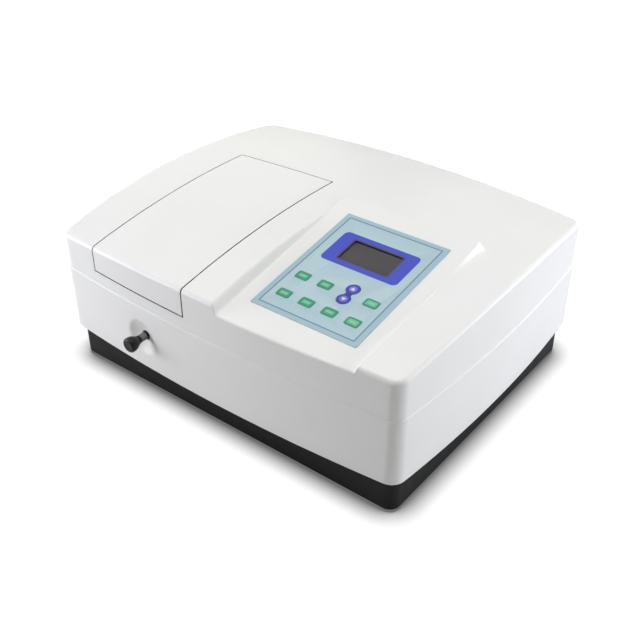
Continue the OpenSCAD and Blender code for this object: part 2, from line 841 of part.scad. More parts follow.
module mono_base() {
  tube_x = tub_rect[1].x;
  color(mono_grey) {
    difference() {
      slab(mono_rect, bench_top, mono_top);
      slab(mono_rect, mono_floor_z, 140, mono_wall);
      cyl_right([-30, beam_y, beam_z], 5, 20);
      cyl_back([exit_x, 50, beam_z], 5, 20);
      cyl_up([grating_x, grating_y, 60], 4.05, 12);
    }
    // light tube to the sample compartment
    difference() {
      cyl_right([tube_x, beam_y, beam_z], 9, mono_rect[0].x - tube_x + overlap);
      cyl_right([tube_x - 1.5, beam_y, beam_z], 7, 16);
    }
  }
}
module mono_cover() {
  color(mono_grey) {
    slab(mono_rect, mono_top, mono_top + 2);
    slab(mono_rect, mono_top - 2, mono_top + overlap, mono_wall + 0.2);
  }
}
module slit_plates() {
  color([0.55, 0.56, 0.58]) {
    difference() {
      block([-17, beam_y - 12, beam_z - 17], [-16, beam_y + 12, beam_z + 17]);
      block([-18, beam_y - 0.3, beam_z - 5], [-15, beam_y + 0.3, beam_z + 5]);
    }
    difference() {
      block([exit_x - 12, 56, beam_z - 17], [exit_x + 12, 57, beam_z + 17]);
      block([exit_x - 0.3, 55, beam_z - 5], [exit_x + 0.3, 58, beam_z + 5]);
    }
  }
}
module mono_mirrors() {
  color([0.85, 0.87, 0.9]) for (mirror = mirrors)
    translate([mirror.x, mirror.y, mono_floor_z]) rotate([0, 0, mirror.z]) {
      difference() {
        block([-7, -17, 0], [0, 17, 58]);
        // concave reflecting face
        translate([mirror_r - 1, 0, beam_z - mono_floor_z]) sphere(r = mirror_r, $fn = 180);
      }
      block([-7, -19, 0], [4, 19, 4]);
    }
}
module grating_table() {
  color([0.6, 0.6, 0.62]) translate([grating_x, grating_y, 0]) {
    cyl_up([0, 0, 44], 4, 34);
    cyl_up([0, 0, table_top - 6], 18, 6);
    // sine arm under the bench with its roller
    block([-52, -2, 46], [0, 2, 52]);
    cyl_up([-52, 0, 44], 3.5, 10);
  }
}
module grating() {
  color([0.7, 0.6, 0.75]) translate([grating_x, grating_y, table_top]) rotate([0, 0, -42.4])
    difference() {
      block([-8, -15, 0], [0, 15, 42]);
      // upright grooves
      row(14, [0, 2, 0]) translate([0.25, -13, 6]) rotate([0, 0, 45])
        block([-0.4, -0.4, 0], [0.4, 0.4, 30]);
    }
}
module lead_screw() {
  color("silver") {
    cyl_back([screw_x, -44, screw_z], screw_r, 133);
    // the thread, as evenly spaced collars
    row(28, [0, 2, 0]) cyl_back([screw_x, -4, screw_z], 3.6, 0.8);
    cyl_back([screw_x, 88.5, screw_z], screw_end_r, 19);
  }
}
module drive_nut() {
  color([0.75, 0.6, 0.3]) difference() {
    union() {
      block([screw_x - 9, 24.3, screw_z - 9], [screw_x + 9, 40.3, screw_z + 9]);
      block([-32, 24.3, 43], [-27, 32.3, 56]);
    }
    cyl_back([screw_x, 20, screw_z], 3.65, 30);
  }
}
module stepper_motor() {
  color(motor_grey) difference() {
    block([screw_x - 17.5, 90, 32.5], [screw_x + 17.5, 118, 59.5]);
    cyl_back([screw_x, 80, screw_z], screw_end_r + 0.05, 30);
  }
}
// frame of the filter wheel: origin on its back face, Z forwards
module at_wheel() {
  translate([wheel_x, 72, beam_z]) rotate([90, 0, 0]) children();
}
module filter_wheel() {
  color([0.2, 0.2, 0.2]) at_wheel() difference() {
    union() {
      cylinder(r = 26, h = 2);
      cyl_up([0, 0, -2], 5, 5);
    }
    turned(5, 60, 180) cyl_up([filter_ring_r, 0, -1], filter_r, 4);
    cyl_up([0, 0, -3], 1.55, 5);
  }
}
// filters in all the holes but the one in the beam
module order_filters() {
  color([0.8, 0.5, 0.2, 0.6]) at_wheel()
    turned(4, 60, 240) cyl_up([filter_ring_r, 0, 0.3], filter_r, 1.4);
}
module filter_motor() {
  color(motor_grey) {
    cyl_front([wheel_x, 84, beam_z], 10, 8);
    cyl_front([wheel_x, 76 + overlap, beam_z], 1.5, 4.5);
    difference() {
      block([wheel_x - 10, 80, bench_top], [wheel_x + 10, 84, 100]);
      cyl_front([wheel_x, 90, beam_z], 10, 20);
    }
  }
}
module detector_box() {
  color([0.45, 0.46, 0.48]) difference() {
    block([-200, beam_y - 23, beam_z - 19], [tub_rect[0].x, beam_y + 23, beam_z + 19]);
    block([-197, beam_y - 20, beam_z - 16], [-163, beam_y + 20, beam_z + 16]);
    cyl_right([-170, beam_y, beam_z], 6, 12);
  }
}
module photodiode() {
  color([0.8, 0.75, 0.5]) {
    cyl_right([-180, beam_y, beam_z], 6, 5);
    block([-183, beam_y - 18, 91], [-180, beam_y + 18, 121]);
  }
}

module placed() { translate([0, shift_y, 0]) children(); }
placed() base_pan();
placed() rubber_feet();
placed() case_screws();
placed() lower_case();
placed() upper_cover();
placed() rear_panel();
placed() sample_lid();
placed() lid_hinge_pin();
placed() hinge_bracket();
placed() lid_seal();
placed() compartment_tub();
placed() guide_rails();
placed() cell_carriage();
placed() cuvettes();
placed() pull_rod();
placed() rod_knob();
placed() rod_bushing();
placed() detent_leaf();
placed() graphic_overlay();
placed() lcd_window();
placed() lcd_module();
placed() key_mode();
placed() key_func();
placed() key_enter();
placed() key_goto();
placed() key_load();
placed() key_zero();
placed() key_print();
placed() key_up();
placed() key_down();
placed() tact_switches();
placed() keypad_board();
placed() main_board();
placed() power_supply();
placed() fan_frame();
placed() fan_rotor();
placed() finger_guard();
placed() power_inlet();
placed() rocker_switch();
placed() serial_port();
placed() wiring_harness();
placed() bench_plate();
placed() lamp_house();
placed() lamp_socket();
placed() lamp_bulb();
placed() condenser_lens();
placed() mono_base();
placed() mono_cover();
placed() slit_plates();
placed() mono_mirrors();
placed() grating_table();
placed() grating();
placed() lead_screw();
placed() drive_nut();
placed() stepper_motor();
placed() filter_wheel();
placed() order_filters();
placed() filter_motor();
placed() detector_box();
placed() photodiode();
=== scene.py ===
"""Bench spectrophotometer: mouldings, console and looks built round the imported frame.

The frame is in metres. The front faces -Y, +X is to the right of someone facing it, +Z is up.
Shape rules are in mm about the middle of the footprint, which OFFSET carries into the frame.
"""
import bpy
import bmesh
import math
import numpy as np
from mathutils import Matrix, Vector
from mathutils.geometry import delaunay_2d_cdt


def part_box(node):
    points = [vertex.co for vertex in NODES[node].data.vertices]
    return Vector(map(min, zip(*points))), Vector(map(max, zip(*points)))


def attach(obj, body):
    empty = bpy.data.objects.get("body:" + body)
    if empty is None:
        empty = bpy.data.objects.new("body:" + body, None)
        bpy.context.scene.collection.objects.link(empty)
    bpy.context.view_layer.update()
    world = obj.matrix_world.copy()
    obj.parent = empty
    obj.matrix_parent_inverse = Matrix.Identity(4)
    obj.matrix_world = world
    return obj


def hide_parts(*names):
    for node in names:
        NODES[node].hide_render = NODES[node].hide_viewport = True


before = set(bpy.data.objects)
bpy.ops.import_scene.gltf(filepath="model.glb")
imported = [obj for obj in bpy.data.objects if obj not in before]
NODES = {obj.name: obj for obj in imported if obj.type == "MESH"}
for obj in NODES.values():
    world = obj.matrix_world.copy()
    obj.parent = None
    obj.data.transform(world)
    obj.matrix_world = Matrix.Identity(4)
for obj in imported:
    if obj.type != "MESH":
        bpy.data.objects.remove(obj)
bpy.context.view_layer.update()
MM = 0.001
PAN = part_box("base_pan")
OFFSET = Vector((0.0, (PAN[0].y + PAN[1].y) / 2, 0.0))

# ------------------------------------------------------------------ case sizes (mm)
HALF_W, HALF_D = 225.7, 179.7      # plan at its corners, before the sides bow out
BOW_X, BOW_Y = 8.4, 10.4           # how far the side, front and back walls bow out
CORNER_R = 16.0
CORNER_X, CORNER_Y = HALF_W - CORNER_R, HALF_D - CORNER_R    # corner-circle centres
SEAM_Z, SKIRT_Z = 120.5, 42.4      # top and bottom of the lower case
STEP = 1.0                         # inset of the upper cover from the lower case
WALL, LID_WALL = 3.0, 2.5
EDGE_R = 4.5                       # rounded top edge
FRONT_ZONE_Y = -150                # everything nearer the front than this is the front wall
CROWN_Z, CROWN_X, CROWN_Y = 189.5, 7.0, 26.7                 # highest point of the crowned top
CROWN_RX, CROWN_RY = 2919.0, 1087.0

# sloping console: "run" is the distance up its slope from the film's centre
SLOPE, PLANE_Z, PLANE_Y = 0.175, 157.0, -188
TILT = math.atan(SLOPE)
COS_TILT, SIN_TILT = math.cos(TILT), math.sin(TILT)
FILM_X, FILM_Y, FILM_W, FILM_L, FILM_T = 96.2, -75.4, 127.2, 163.8, 0.8
SUNK_HW, SUNK_SPLAY = 83.4, math.tan(math.radians(1.5))      # half width and its growth with run
RAISED_HW, RAISED_SPLAY = 85.0, math.tan(math.radians(-2.8))
RAISED_RUN = 35                    # the right edge takes the raised rule beyond this run
FRONT_RUN, BACK_RUN = -118, 109.3
SINK_SLOPE, RISE_SLOPE = 3.49, 1.96                          # steepness of the console's walls
BACK_STEEPER = 1.046               # the back wall's steepness over RISE_SLOPE

# lid, and the opening for it, which is open towards the front
LID_X1, LID_X2, LID_Y2, LID_Z, GAP = -167.6, -31.2, 58.6, 135.8, 1.55
OPEN_X1, OPEN_X2, OPEN_Y2, OPEN_Z = LID_X1 - GAP, LID_X2 + GAP, LID_Y2 + GAP, LID_Z - GAP

# rod through the front wall, and the opening in the back wall
ROD_X, ROD_Z, ROD_HOLE_R = -97.0, 81.0, 5.6
REAR_X1, REAR_X2, REAR_Z1, REAR_Z2 = -66.0, 192.0, 64.0, 114.0

# console layout, as (x, run) from the film's centre
DISPLAY = (0.45, 31.3)
DISPLAY_HOLE = (63.4, 35.4, 2.4)   # width, length, corner radius
KEYS = {
    "key_mode": (-41.6, -25.5), "key_func": (-13.8, -25.5), "key_enter": (41.4, -25.5),
    "key_goto": (-41.6, -55.7), "key_load": (-13.8, -55.7), "key_zero": (13.8, -55.7),
    "key_print": (41.4, -55.7),
}
ROUND_KEYS = {"key_up": (14.0, -17.2), "key_down": (14.0, -33.4)}
KEY_HOLE_HW, KEY_HOLE_HL, ROUND_HOLE_R = 7.9, 5.4, 7.6

# mesh stations
SIDE_STEPS, CORNER_STEPS, WALL_STEPS = 40, 10, 5
MIN_COLUMN = 0.35                  # least spacing of the front columns
SOFT_R = 0.7                       # softened edge of the lid and its opening
SOFT = [0.0, 0.08, 0.2, 0.4, 0.7]  # distances from that edge
WALL_OFFSETS = [-3.0, -1.8, -1.0, -0.5, 0.0, 0.5, 1.0, 1.5, 2.0, 2.5, 3.0, 3.5, 4.0, 4.5, 5.0,
                5.6, 6.4, 7.5, 9.0]
FOOT_OFFSETS = [-2.2, -1.6, -1.1, -0.7, -0.35, 0.0, 0.35, 0.7, 1.1, 1.6, 2.2]
COVER_ANGLES = np.radians([12, 25, 40, 55, 70, 80, 90])
LID_ANGLES = np.radians([8, 18, 30, 42, 55, 68, 80, 90])


# ------------------------------------------------------------------ surface rules
def crown(x, y):
    drop_x = CROWN_RX - np.sqrt(CROWN_RX ** 2 - (x - CROWN_X) ** 2)
    return CROWN_Z - drop_x - (CROWN_RY - np.sqrt(CROWN_RY ** 2 - (y - CROWN_Y) ** 2))


def plane(y):
    return PLANE_Z + SLOPE * (y - PLANE_Y)


def smooth_min(first, second, blend):
    near = np.maximum(blend - np.abs(first - second), 0) / blend
    return np.minimum(first, second) - near * near * blend * 0.25


def smooth_max(first, second, blend):
    return -smooth_min(-first, -second, blend)


def run_of(y):
    return (y - FILM_Y) / COS_TILT


def console_edge(run, side):
    """Half width of the console; side is -1 for left and 1 for right."""
    if side > 0 and run > RAISED_RUN:
        return RAISED_HW + run * RAISED_SPLAY
    return SUNK_HW + run * SUNK_SPLAY


def top(x, y):
    """Height of the outer surface over a point: crown, sunken console and its raised back."""
    x, y = np.asarray(x, float), np.asarray(y, float)
    crown_z = crown(x, y)
    above = plane(y) - crown_z
    run = run_of(y)
    left = -(x - FILM_X) - (SUNK_HW + run * SUNK_SPLAY)
    right = (x - FILM_X) - (SUNK_HW + run * SUNK_SPLAY)
    side = np.maximum(left, right)
    zero = np.zeros_like(side)
    sink_blend = np.minimum(np.clip(-above, 1e-6, None), np.where(x < FILM_X, 7.5, 3.0))
    sink = smooth_min(zero, above + SINK_SLOPE * smooth_max(side, zero, 1.2), sink_blend)
    raised_side = np.maximum(left, (x - FILM_X) - (RAISED_HW + run * RAISED_SPLAY))
    outside = smooth_max(raised_side, (run - BACK_RUN) * BACK_STEEPER, 2.2)
    rise = smooth_max(zero, above - RISE_SLOPE * smooth_max(outside, zero, 1.4),
                      np.clip(above, 1e-6, 3.0))
    return crown_z + np.where(above < 0, sink, rise)


def top_normals(x, y, delta=0.05):
    slope_x = (top(x + delta, y) - top(x - delta, y)) / (2 * delta)
    slope_y = (top(x, y + delta) - top(x, y - delta)) / (2 * delta)
    normals = np.stack([-slope_x, -slope_y, np.ones_like(slope_x)], -1)
    return normals / np.linalg.norm(normals, axis=-1, keepdims=True)


def soften(distance, radius):
    """How far a surface drops at a distance from its rounded edge."""
    distance = np.clip(distance, 0, radius)
    return radius - np.sqrt(np.maximum(radius * radius - (radius - distance) ** 2, 0))


def edge_radius(x, y):
    """Radius of the cover's top edge: tight where the console runs out of the front."""
    if y > FRONT_ZONE_Y:
        return EDGE_R
    side = abs(x - FILM_X) - console_edge(run_of(y), -1)
    ease = min(max((side + 1.0) / 7.0, 0.0), 1.0)
    return 2.0 + 2.5 * ease * ease * (3 - 2 * ease)


def side_run(run, side):
    """Signed plan width of the console's side wall: negative where it is sunken."""
    y, width = FILM_Y + run * COS_TILT, 0.0
    for _ in range(12):
        x = FILM_X + side * (console_edge(run, side) + abs(width))
        above = float(plane(y) - crown(x, y))
        width = above / SINK_SLOPE if above < 0 else above / RISE_SLOPE
    return width


def back_wall_run(x):
    """The raised back wall's height above the crown, over RISE_SLOPE."""
    width = 2.0
    for _ in range(12):
        y = FILM_Y + (BACK_RUN + width / BACK_STEEPER) * COS_TILT
        width = max(float(plane(y) - crown(x, y)), 0.2) / RISE_SLOPE
    return width


# ------------------------------------------------------------------ plan outline as columns
TILT_X, TILT_Y = 2 * BOW_Y / CORNER_X, 2 * BOW_X / CORNER_Y   # wall slopes at the corners


def front_y(x, inset=0.0):
    """y of the front wall's face at x."""
    part = x / CORNER_X
    slope = 2 * BOW_Y * part / CORNER_X
    bowed = CORNER_Y + BOW_Y * (1 - part * part)
    return -bowed - (CORNER_R - inset) * np.sqrt(1 + slope * slope)


def side_x(y, inset=0.0):
    """x of the right wall's face at y."""
    part = y / CORNER_Y
    slope = 2 * BOW_X * part / CORNER_Y
    bowed = CORNER_X + BOW_X * (1 - part * part)
    return bowed + (CORNER_R - inset) * np.sqrt(1 + slope * slope)


def columns(extra_x):
    """Columns round the outline as (kind, place), anticlockwise from the front's left end."""
    x_end = CORNER_X + CORNER_R * TILT_X / math.sqrt(1 + TILT_X ** 2)
    y_end = CORNER_Y + CORNER_R * TILT_Y / math.sqrt(1 + TILT_Y ** 2)
    even = np.linspace(-x_end, x_end, 2 * SIDE_STEPS + 1)
    extra = np.array(extra_x, float)
    stations = np.array(sorted(set(np.round(np.concatenate([even, extra]), 4))))
    fixed = set(np.round(extra, 4)) | {stations[-1]}
    kept = [stations[0]]
    for x in stations[1:]:
        close = x - kept[-1] < MIN_COLUMN
        if close and x not in fixed:
            continue
        if close and kept[-1] not in fixed:
            kept[-1] = x
        else:
            kept.append(x)
    side_y = np.linspace(-y_end, y_end, 2 * SIDE_STEPS + 1)
    start, end = math.atan(TILT_X), math.atan(TILT_Y)
    corner = [-math.pi / 2 + start + (math.pi / 2 - start - end) * k / CORNER_STEPS
              for k in range(1, CORNER_STEPS)]
    cols = [("front", x) for x in kept]
    cols += [("corner", (1, -1, a)) for a in corner]
    cols += [("right", y) for y in side_y]
    cols += [("corner", (1, 1, -a)) for a in reversed(corner)]
    cols += [("back", x) for x in np.linspace(x_end, -x_end, 2 * SIDE_STEPS + 1)]
    cols += [("corner", (-1, 1, math.pi + a)) for a in corner]
    cols += [("left", y) for y in side_y[::-1]]
    cols += [("corner", (-1, -1, math.pi - a)) for a in reversed(corner)]
    return cols


def column_point(column, inset):
    kind, place = column
    if kind == "front":
        return np.array([place, front_y(place, inset)])
    if kind == "back":
        return np.array([place, -front_y(place, inset)])
    if kind == "right":
        return np.array([side_x(place, inset), place])
    if kind == "left":
        return np.array([-side_x(place, inset), place])
    side, end, angle = place
    radius = CORNER_R - inset
    return np.array([side * CORNER_X + radius * math.cos(angle),
                     end * CORNER_Y + radius * math.sin(angle)])


# ------------------------------------------------------------------ mesh helpers
def make_obj(name, verts, faces, mats):
    mesh = bpy.data.meshes.new(name)
    mesh.from_pydata([tuple(v) for v in verts], [], [tuple(int(i) for i in f) for f in faces])
    mesh.validate()
    mesh.update()
    mesh.polygons.foreach_set("use_smooth", [True] * len(mesh.polygons))
    ob = bpy.data.objects.new(name, mesh)
    bpy.context.scene.collection.objects.link(ob)
    for mat in mats:
        mesh.materials.append(mat)
    return ob


def fit(ob, body, replaces=None):
    """Carry a piece into the frame, hang it on its body and hide the frame part it replaces."""
    ob.data.transform(Matrix.Translation(OFFSET))
    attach(ob, body)
    if replaces:
        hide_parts(replaces)


def auto_smooth(ob, degrees):
    """Sharp edges above an angle, smooth elsewhere."""
    mesh = ob.data
    mesh.polygons.foreach_set("use_smooth", [True] * len(mesh.polygons))
    bm = bmesh.new()
    bm.from_mesh(mesh)
    for edge in bm.edges:
        edge.smooth = (len(edge.link_faces) == 2
                       and edge.calc_face_angle(0) <= math.radians(degrees))
    bm.to_mesh(mesh)
    bm.free()


def shell(thickness, verts, faces, normals, shift=None):
    """Closed shell: the outer surface, a copy inside it, and a rim along its open edges."""
    verts, normals = np.asarray(verts, float), np.asarray(normals, float)
    inner = verts - normals * thickness
    if shift is not None:
        inner = inner + shift
    n = len(verts)
    all_faces = [tuple(f) for f in faces] + [tuple(i + n for i in reversed(f)) for f in faces]
    sides = {}
    for face in faces:
        for start, end in zip(face, list(face[1:]) + [face[0]]):
            sides[(start, end)] = True
    for start, end in sides:
        if (end, start) not in sides:
            all_faces.append((end, start, start + n, end + n))
    return np.vstack([verts, inner]), all_faces


def vertex_normals(verts, faces):
    normals = np.zeros_like(verts)
    for face in faces:
        corners = verts[list(face)]
        total = np.zeros(3)
        for k in range(len(face)):
            total += np.cross(corners[k], corners[(k + 1) % len(face)])
        for i in face:
            normals[i] += total
    return normals / np.maximum(np.linalg.norm(normals, axis=1, keepdims=True), 1e-12)


def add_chain(points, edges, chain, closed=False):
    """Add a run of plan points and the edges between them."""
    base, n = len(points), len(chain)
    points.extend(Vector((float(x), float(y))) for x, y in chain)
    edges.extend((base + k, base + (k + 1) % n) for k in range(n if closed else n - 1))


def doubled_area(a, b, c):
    """Twice the plan area of a triangle, positive when anticlockwise."""
    return (b[0] - a[0]) * (c[1] - a[1]) - (b[1] - a[1]) * (c[0] - a[0])


def rounded_rect(width, length, radius, steps, x=0.0, y=0.0):
    """Rounded rectangle, anticlockwise, centred on x, y."""
    out = []
    for side, end, start in ((1, -1, -90), (1, 1, 0), (-1, 1, 90), (-1, -1, 180)):
        for k in range(steps + 1):
            angle = math.radians(start + 90 * k / steps)
            out.append((x + side * (width / 2 - radius) + radius * math.cos(angle),
                        y + end * (length / 2 - radius) + radius * math.sin(angle)))
    return out


def circle(radius, steps, x, y):
    angles = [2 * math.pi * k / steps for k in range(steps)]
    return [(x + radius * math.cos(a), y + radius * math.sin(a)) for a in angles]


# ------------------------------------------------------------------ upper cover
def cover_columns():
    """Columns with extra ones at the lid opening and where the console meets the front."""
    run = run_of(-190)
    left = FILM_X - SUNK_HW - run * SUNK_SPLAY
    right = FILM_X + SUNK_HW + run * SUNK_SPLAY
    left_foot, right_foot = left - abs(side_run(run, -1)), right + abs(side_run(run, 1))
    extra = [OPEN_X1 - d for d in SOFT] + [OPEN_X2 + d for d in SOFT]
    extra += [left - d for d in WALL_OFFSETS] + [right + d for d in WALL_OFFSETS]
    extra += [left_foot - d for d in FOOT_OFFSETS] + [right_foot + d for d in FOOT_OFFSETS]
    return columns(extra)


def cover_sides(cols):
    """Outer walls and rounded top edge; below the lid the walls stop at the opening."""
    low_z = [SEAM_Z, SEAM_Z + 0.25, SEAM_Z + 0.7, 125.0, 130.0]
    low_z += [OPEN_Z - d for d in reversed(SOFT)]
    verts, index = [], {}
    for i, col in enumerate(cols):
        x, y = column_point(col, STEP)
        levels = [(x, y, z) for z in low_z]
        if not (col[0] == "front" and OPEN_X1 + 0.001 < col[1] < OPEN_X2 - 0.001):
            radius = edge_radius(x, y)
            edge_z = float(top(x, y)) - radius
            levels += [(x, y, OPEN_Z + (edge_z - OPEN_Z) * k / WALL_STEPS)
                       for k in range(1, WALL_STEPS + 1)]
            for angle in COVER_ANGLES:
                x, y = column_point(col, STEP + radius * (1 - math.cos(angle)))
                levels.append((x, y, float(top(x, y)) - radius * (1 - math.sin(angle))))
        for k, point in enumerate(levels):
            index[(i, k)] = len(verts)
            verts.append(point)
    faces = []
    highest = max(k for _, k in index)
    for i in range(len(cols)):
        j = (i + 1) % len(cols)
        for k in range(highest):
            quad = [(i, k), (j, k), (j, k + 1), (i, k + 1)]
            if all(corner in index for corner in quad):
                faces.append([index[corner] for corner in quad])
    return verts, faces


def cover_outline(cols):
    """Boundary of the top face: inside the rounded edge, then round the lid opening."""
    def column_at(place):
        return next(k for k, c in enumerate(cols)
                    if c[0] == "front" and abs(c[1] - place) < 1e-3)

    outline = []
    for col in cols[column_at(OPEN_X2):] + cols[:column_at(OPEN_X1) + 1]:
        radius = edge_radius(*column_point(col, STEP))
        outline.append(column_point(col, STEP + radius))
    first_y, last_y = outline[0][1], outline[-1][1]
    outline += [(OPEN_X1, y) for y in np.linspace(last_y, OPEN_Y2, 42)[1:]]
    outline += [(x, OPEN_Y2) for x in np.linspace(OPEN_X1, OPEN_X2, 26)[1:]]
    outline += [(OPEN_X2, y) for y in np.linspace(OPEN_Y2, first_y, 42)[1:-1]]
    return outline


def on_cover(x, y, margin):
    """Whether a point is on the top face, at least a margin from its boundary."""
    inset = STEP + edge_radius(x, y)
    if not (abs(x) < side_x(np.clip(y, -CORNER_Y, CORNER_Y), inset) - margin
            and abs(y) < -front_y(np.clip(x, -CORNER_X, CORNER_X), inset) - margin):
        return False
    if abs(x) > CORNER_X and abs(y) > CORNER_Y:
        if math.hypot(abs(x) - CORNER_X, abs(y) - CORNER_Y) > CORNER_R - inset - margin:
            return False
    return not (OPEN_X1 - margin < x < OPEN_X2 + margin and y < OPEN_Y2 + margin)


def opening_lines():
    """Lines round the lid opening that carry its softened edge."""
    for d in SOFT[1:]:
        x1, x2, y2 = OPEN_X1 - d, OPEN_X2 + d, OPEN_Y2 + d
        left_y = float(front_y(x1, STEP + EDGE_R)) + 0.02
        right_y = float(front_y(x2, STEP + EDGE_R)) + 0.02
        yield ([(x1, y) for y in np.linspace(left_y, y2, 41)]
               + [(x, y2) for x in np.linspace(x1, x2, 25)[1:]]
               + [(x2, y) for y in np.linspace(y2, right_y, 41)[1:]])


def console_holes():
    """Plan outlines of the display opening and of the key holes under the film."""
    loops = [rounded_rect(*DISPLAY_HOLE, 5, *DISPLAY)]
    half_w, half_l = KEY_HOLE_HW, KEY_HOLE_HL
    loops += [[(x - half_w, y - half_l), (x + half_w, y - half_l),
               (x + half_w, y + half_l), (x - half_w, y + half_l)] for x, y in KEYS.values()]
    loops += [circle(ROUND_HOLE_R, 40, x, y) for x, y in ROUND_KEYS.values()]
    return [[(FILM_X + x, FILM_Y + run * COS_TILT) for x, run in loop] for loop in loops]


def in_console_hole(x, y):
    x, run = x - FILM_X, (y - FILM_Y) / COS_TILT
    width, length, radius = DISPLAY_HOLE
    from_x, from_run = abs(x - DISPLAY[0]), abs(run - DISPLAY[1])
    if from_x < width / 2 and from_run < length / 2:
        past_x, past_run = from_x - (width / 2 - radius), from_run - (length / 2 - radius)
        if past_x < 0 or past_run < 0 or math.hypot(past_x, past_run) < radius:
            return True
    return (any(abs(x - kx) < KEY_HOLE_HW and abs(run - ky) < KEY_HOLE_HL
                for kx, ky in KEYS.values())
            or any(math.hypot(x - kx, run - ky) < ROUND_HOLE_R - 0.02
                   for kx, ky in ROUND_KEYS.values()))


def wall_line(side, offset, start, end, steps=60):
    """Line that follows one side edge of the console at an offset."""
    line = []
    for run in np.linspace(start, end, steps):
        y = FILM_Y + run * COS_TILT
        x = FILM_X + side * (console_edge(run, side) + offset)
        if on_cover(x, y, 0.02):
            line.append((x, y))
    return line


def foot_lines(side, offset, start, end):
    """Lines where a side wall of the console meets the crown, broken where it has no width."""
    lines = [[]]
    for run in np.linspace(start, end, 80):
        width = abs(side_run(run, side))
        x = FILM_X + side * (console_edge(run, side) + width + offset)
        y = FILM_Y + run * COS_TILT
        if width + offset > 1.0 and on_cover(x, y, 0.02):
            lines[-1].append((x, y))
        elif lines[-1]:
            lines.append([])
    return [line for line in lines if len(line) > 1]


def console_lines():
    """Lines along the console's walls: their inner edges, then where they meet the crown."""
    for d in WALL_OFFSETS:
        back = BACK_RUN + d / BACK_STEEPER
        yield wall_line(-1, d, FRONT_RUN, back, 75)
        yield wall_line(1, d, FRONT_RUN, 34.0)
        yield wall_line(1, d, 36.0, back)
        y = FILM_Y + back * COS_TILT
        left = FILM_X - (SUNK_HW + back * SUNK_SPLAY + d)
        right = FILM_X + RAISED_HW + back * RAISED_SPLAY + d
        yield [(x, y) for x in np.linspace(left, right, 61)[1:-1]]
    for d in FOOT_OFFSETS:
        for side, start, end in ((-1, FRONT_RUN, BACK_RUN), (1, FRONT_RUN, 30.0),
                                 (1, 40.0, BACK_RUN)):
            yield from foot_lines(side, d, start, end)
        yield [(x, FILM_Y + (BACK_RUN + (back_wall_run(x) + d) / BACK_STEEPER) * COS_TILT)
               for x in np.linspace(FILM_X - 90, FILM_X + 90, 90)]


def body_points(pitch=7.0):
    """Staggered grid over the rest of the top, kept clear of the console's walls."""
    for x0 in np.arange(-232, 233, pitch):
        for row, y in enumerate(np.arange(-188, 189, pitch)):
            x = x0 + (pitch / 2 if row % 2 else 0)
            if not on_cover(x, y, 2.5):
                continue
            run = run_of(y)
            left = console_edge(run, -1)
            nearest = min(abs(-(x - FILM_X) - left), abs((x - FILM_X) - console_edge(run, 1)),
                          abs(run - BACK_RUN))
            if nearest < 10 and run < BACK_RUN + 12 and abs(x - FILM_X) < left + 12:
                continue
            if OPEN_X1 - 3 < x < OPEN_X2 + 3 and y < OPEN_Y2 + 3:
                continue
            yield (x, y)


def cover_top(outline):
    """Triangulated top face."""
    points, edges = [], []
    add_chain(points, [], outline)
    for line in opening_lines():
        add_chain(points, edges, line)
    for loop in console_holes():
        add_chain(points, edges, loop, closed=True)
    for line in console_lines():
        add_chain(points, edges, line)
    add_chain(points, [], list(body_points()))
    found, _, triangles, *_ = delaunay_2d_cdt(points, edges, [list(range(len(outline)))],
                                              1, 1e-5)
    plan = np.array([[v[0], v[1]] for v in found])
    faces = []
    for face in triangles:
        a, b, c = [plan[i] for i in face[:3]]
        middle = (a + b + c) / 3
        if not in_console_hole(middle[0], middle[1]):
            faces.append(list(face) if doubled_area(a, b, c) > 0 else list(reversed(face)))
    return np.column_stack([plan, top(plan[:, 0], plan[:, 1])]), faces


def weld(verts, faces, top_start, cell=0.004):
    """Merge coincident points; also tells which of the kept ones belong to the top face."""
    seen, kept = {}, []
    remap = np.zeros(len(verts), int)
    for k, place in enumerate(np.round(verts / cell).astype(np.int64)):
        key = tuple(place)
        if key not in seen:
            seen[key] = len(kept)
            kept.append(k)
        remap[k] = seen[key]
    is_top = np.zeros(len(kept), bool)
    is_top[remap[top_start:]] = True
    welded = []
    for face in faces:
        corners = list(dict.fromkeys(int(remap[i]) for i in face))
        if len(corners) >= 3:
            welded.append(corners)
    return verts[kept], welded, is_top


def cover_mesh():
    cols = cover_columns()
    side_verts, faces = cover_sides(cols)
    top_verts, top_faces = cover_top(cover_outline(cols))
    base = len(side_verts)
    faces += [[base + i for i in face] for face in top_faces]
    verts, faces, is_top = weld(np.vstack([np.array(side_verts), top_verts]), faces, base)
    normals = vertex_normals(verts, faces)
    normals[is_top] = top_normals(verts[:, 0], verts[:, 1])[is_top]
    from_opening = np.maximum.reduce([OPEN_X1 - verts[:, 0], verts[:, 0] - OPEN_X2,
                                      verts[:, 1] - OPEN_Y2, OPEN_Z - verts[:, 2]])
    verts = verts - normals * soften(from_opening, SOFT_R)[:, None]
    # the inner skin stands back from the opening's rear edge
    shift = np.zeros_like(verts)
    rear = (is_top & (np.abs(verts[:, 1] - OPEN_Y2) < 0.05)
            & (verts[:, 0] > OPEN_X1 - 0.05) & (verts[:, 0] < OPEN_X2 + 0.05))
    shift[rear, 1] = 1.9
    return verts, faces, normals, shift


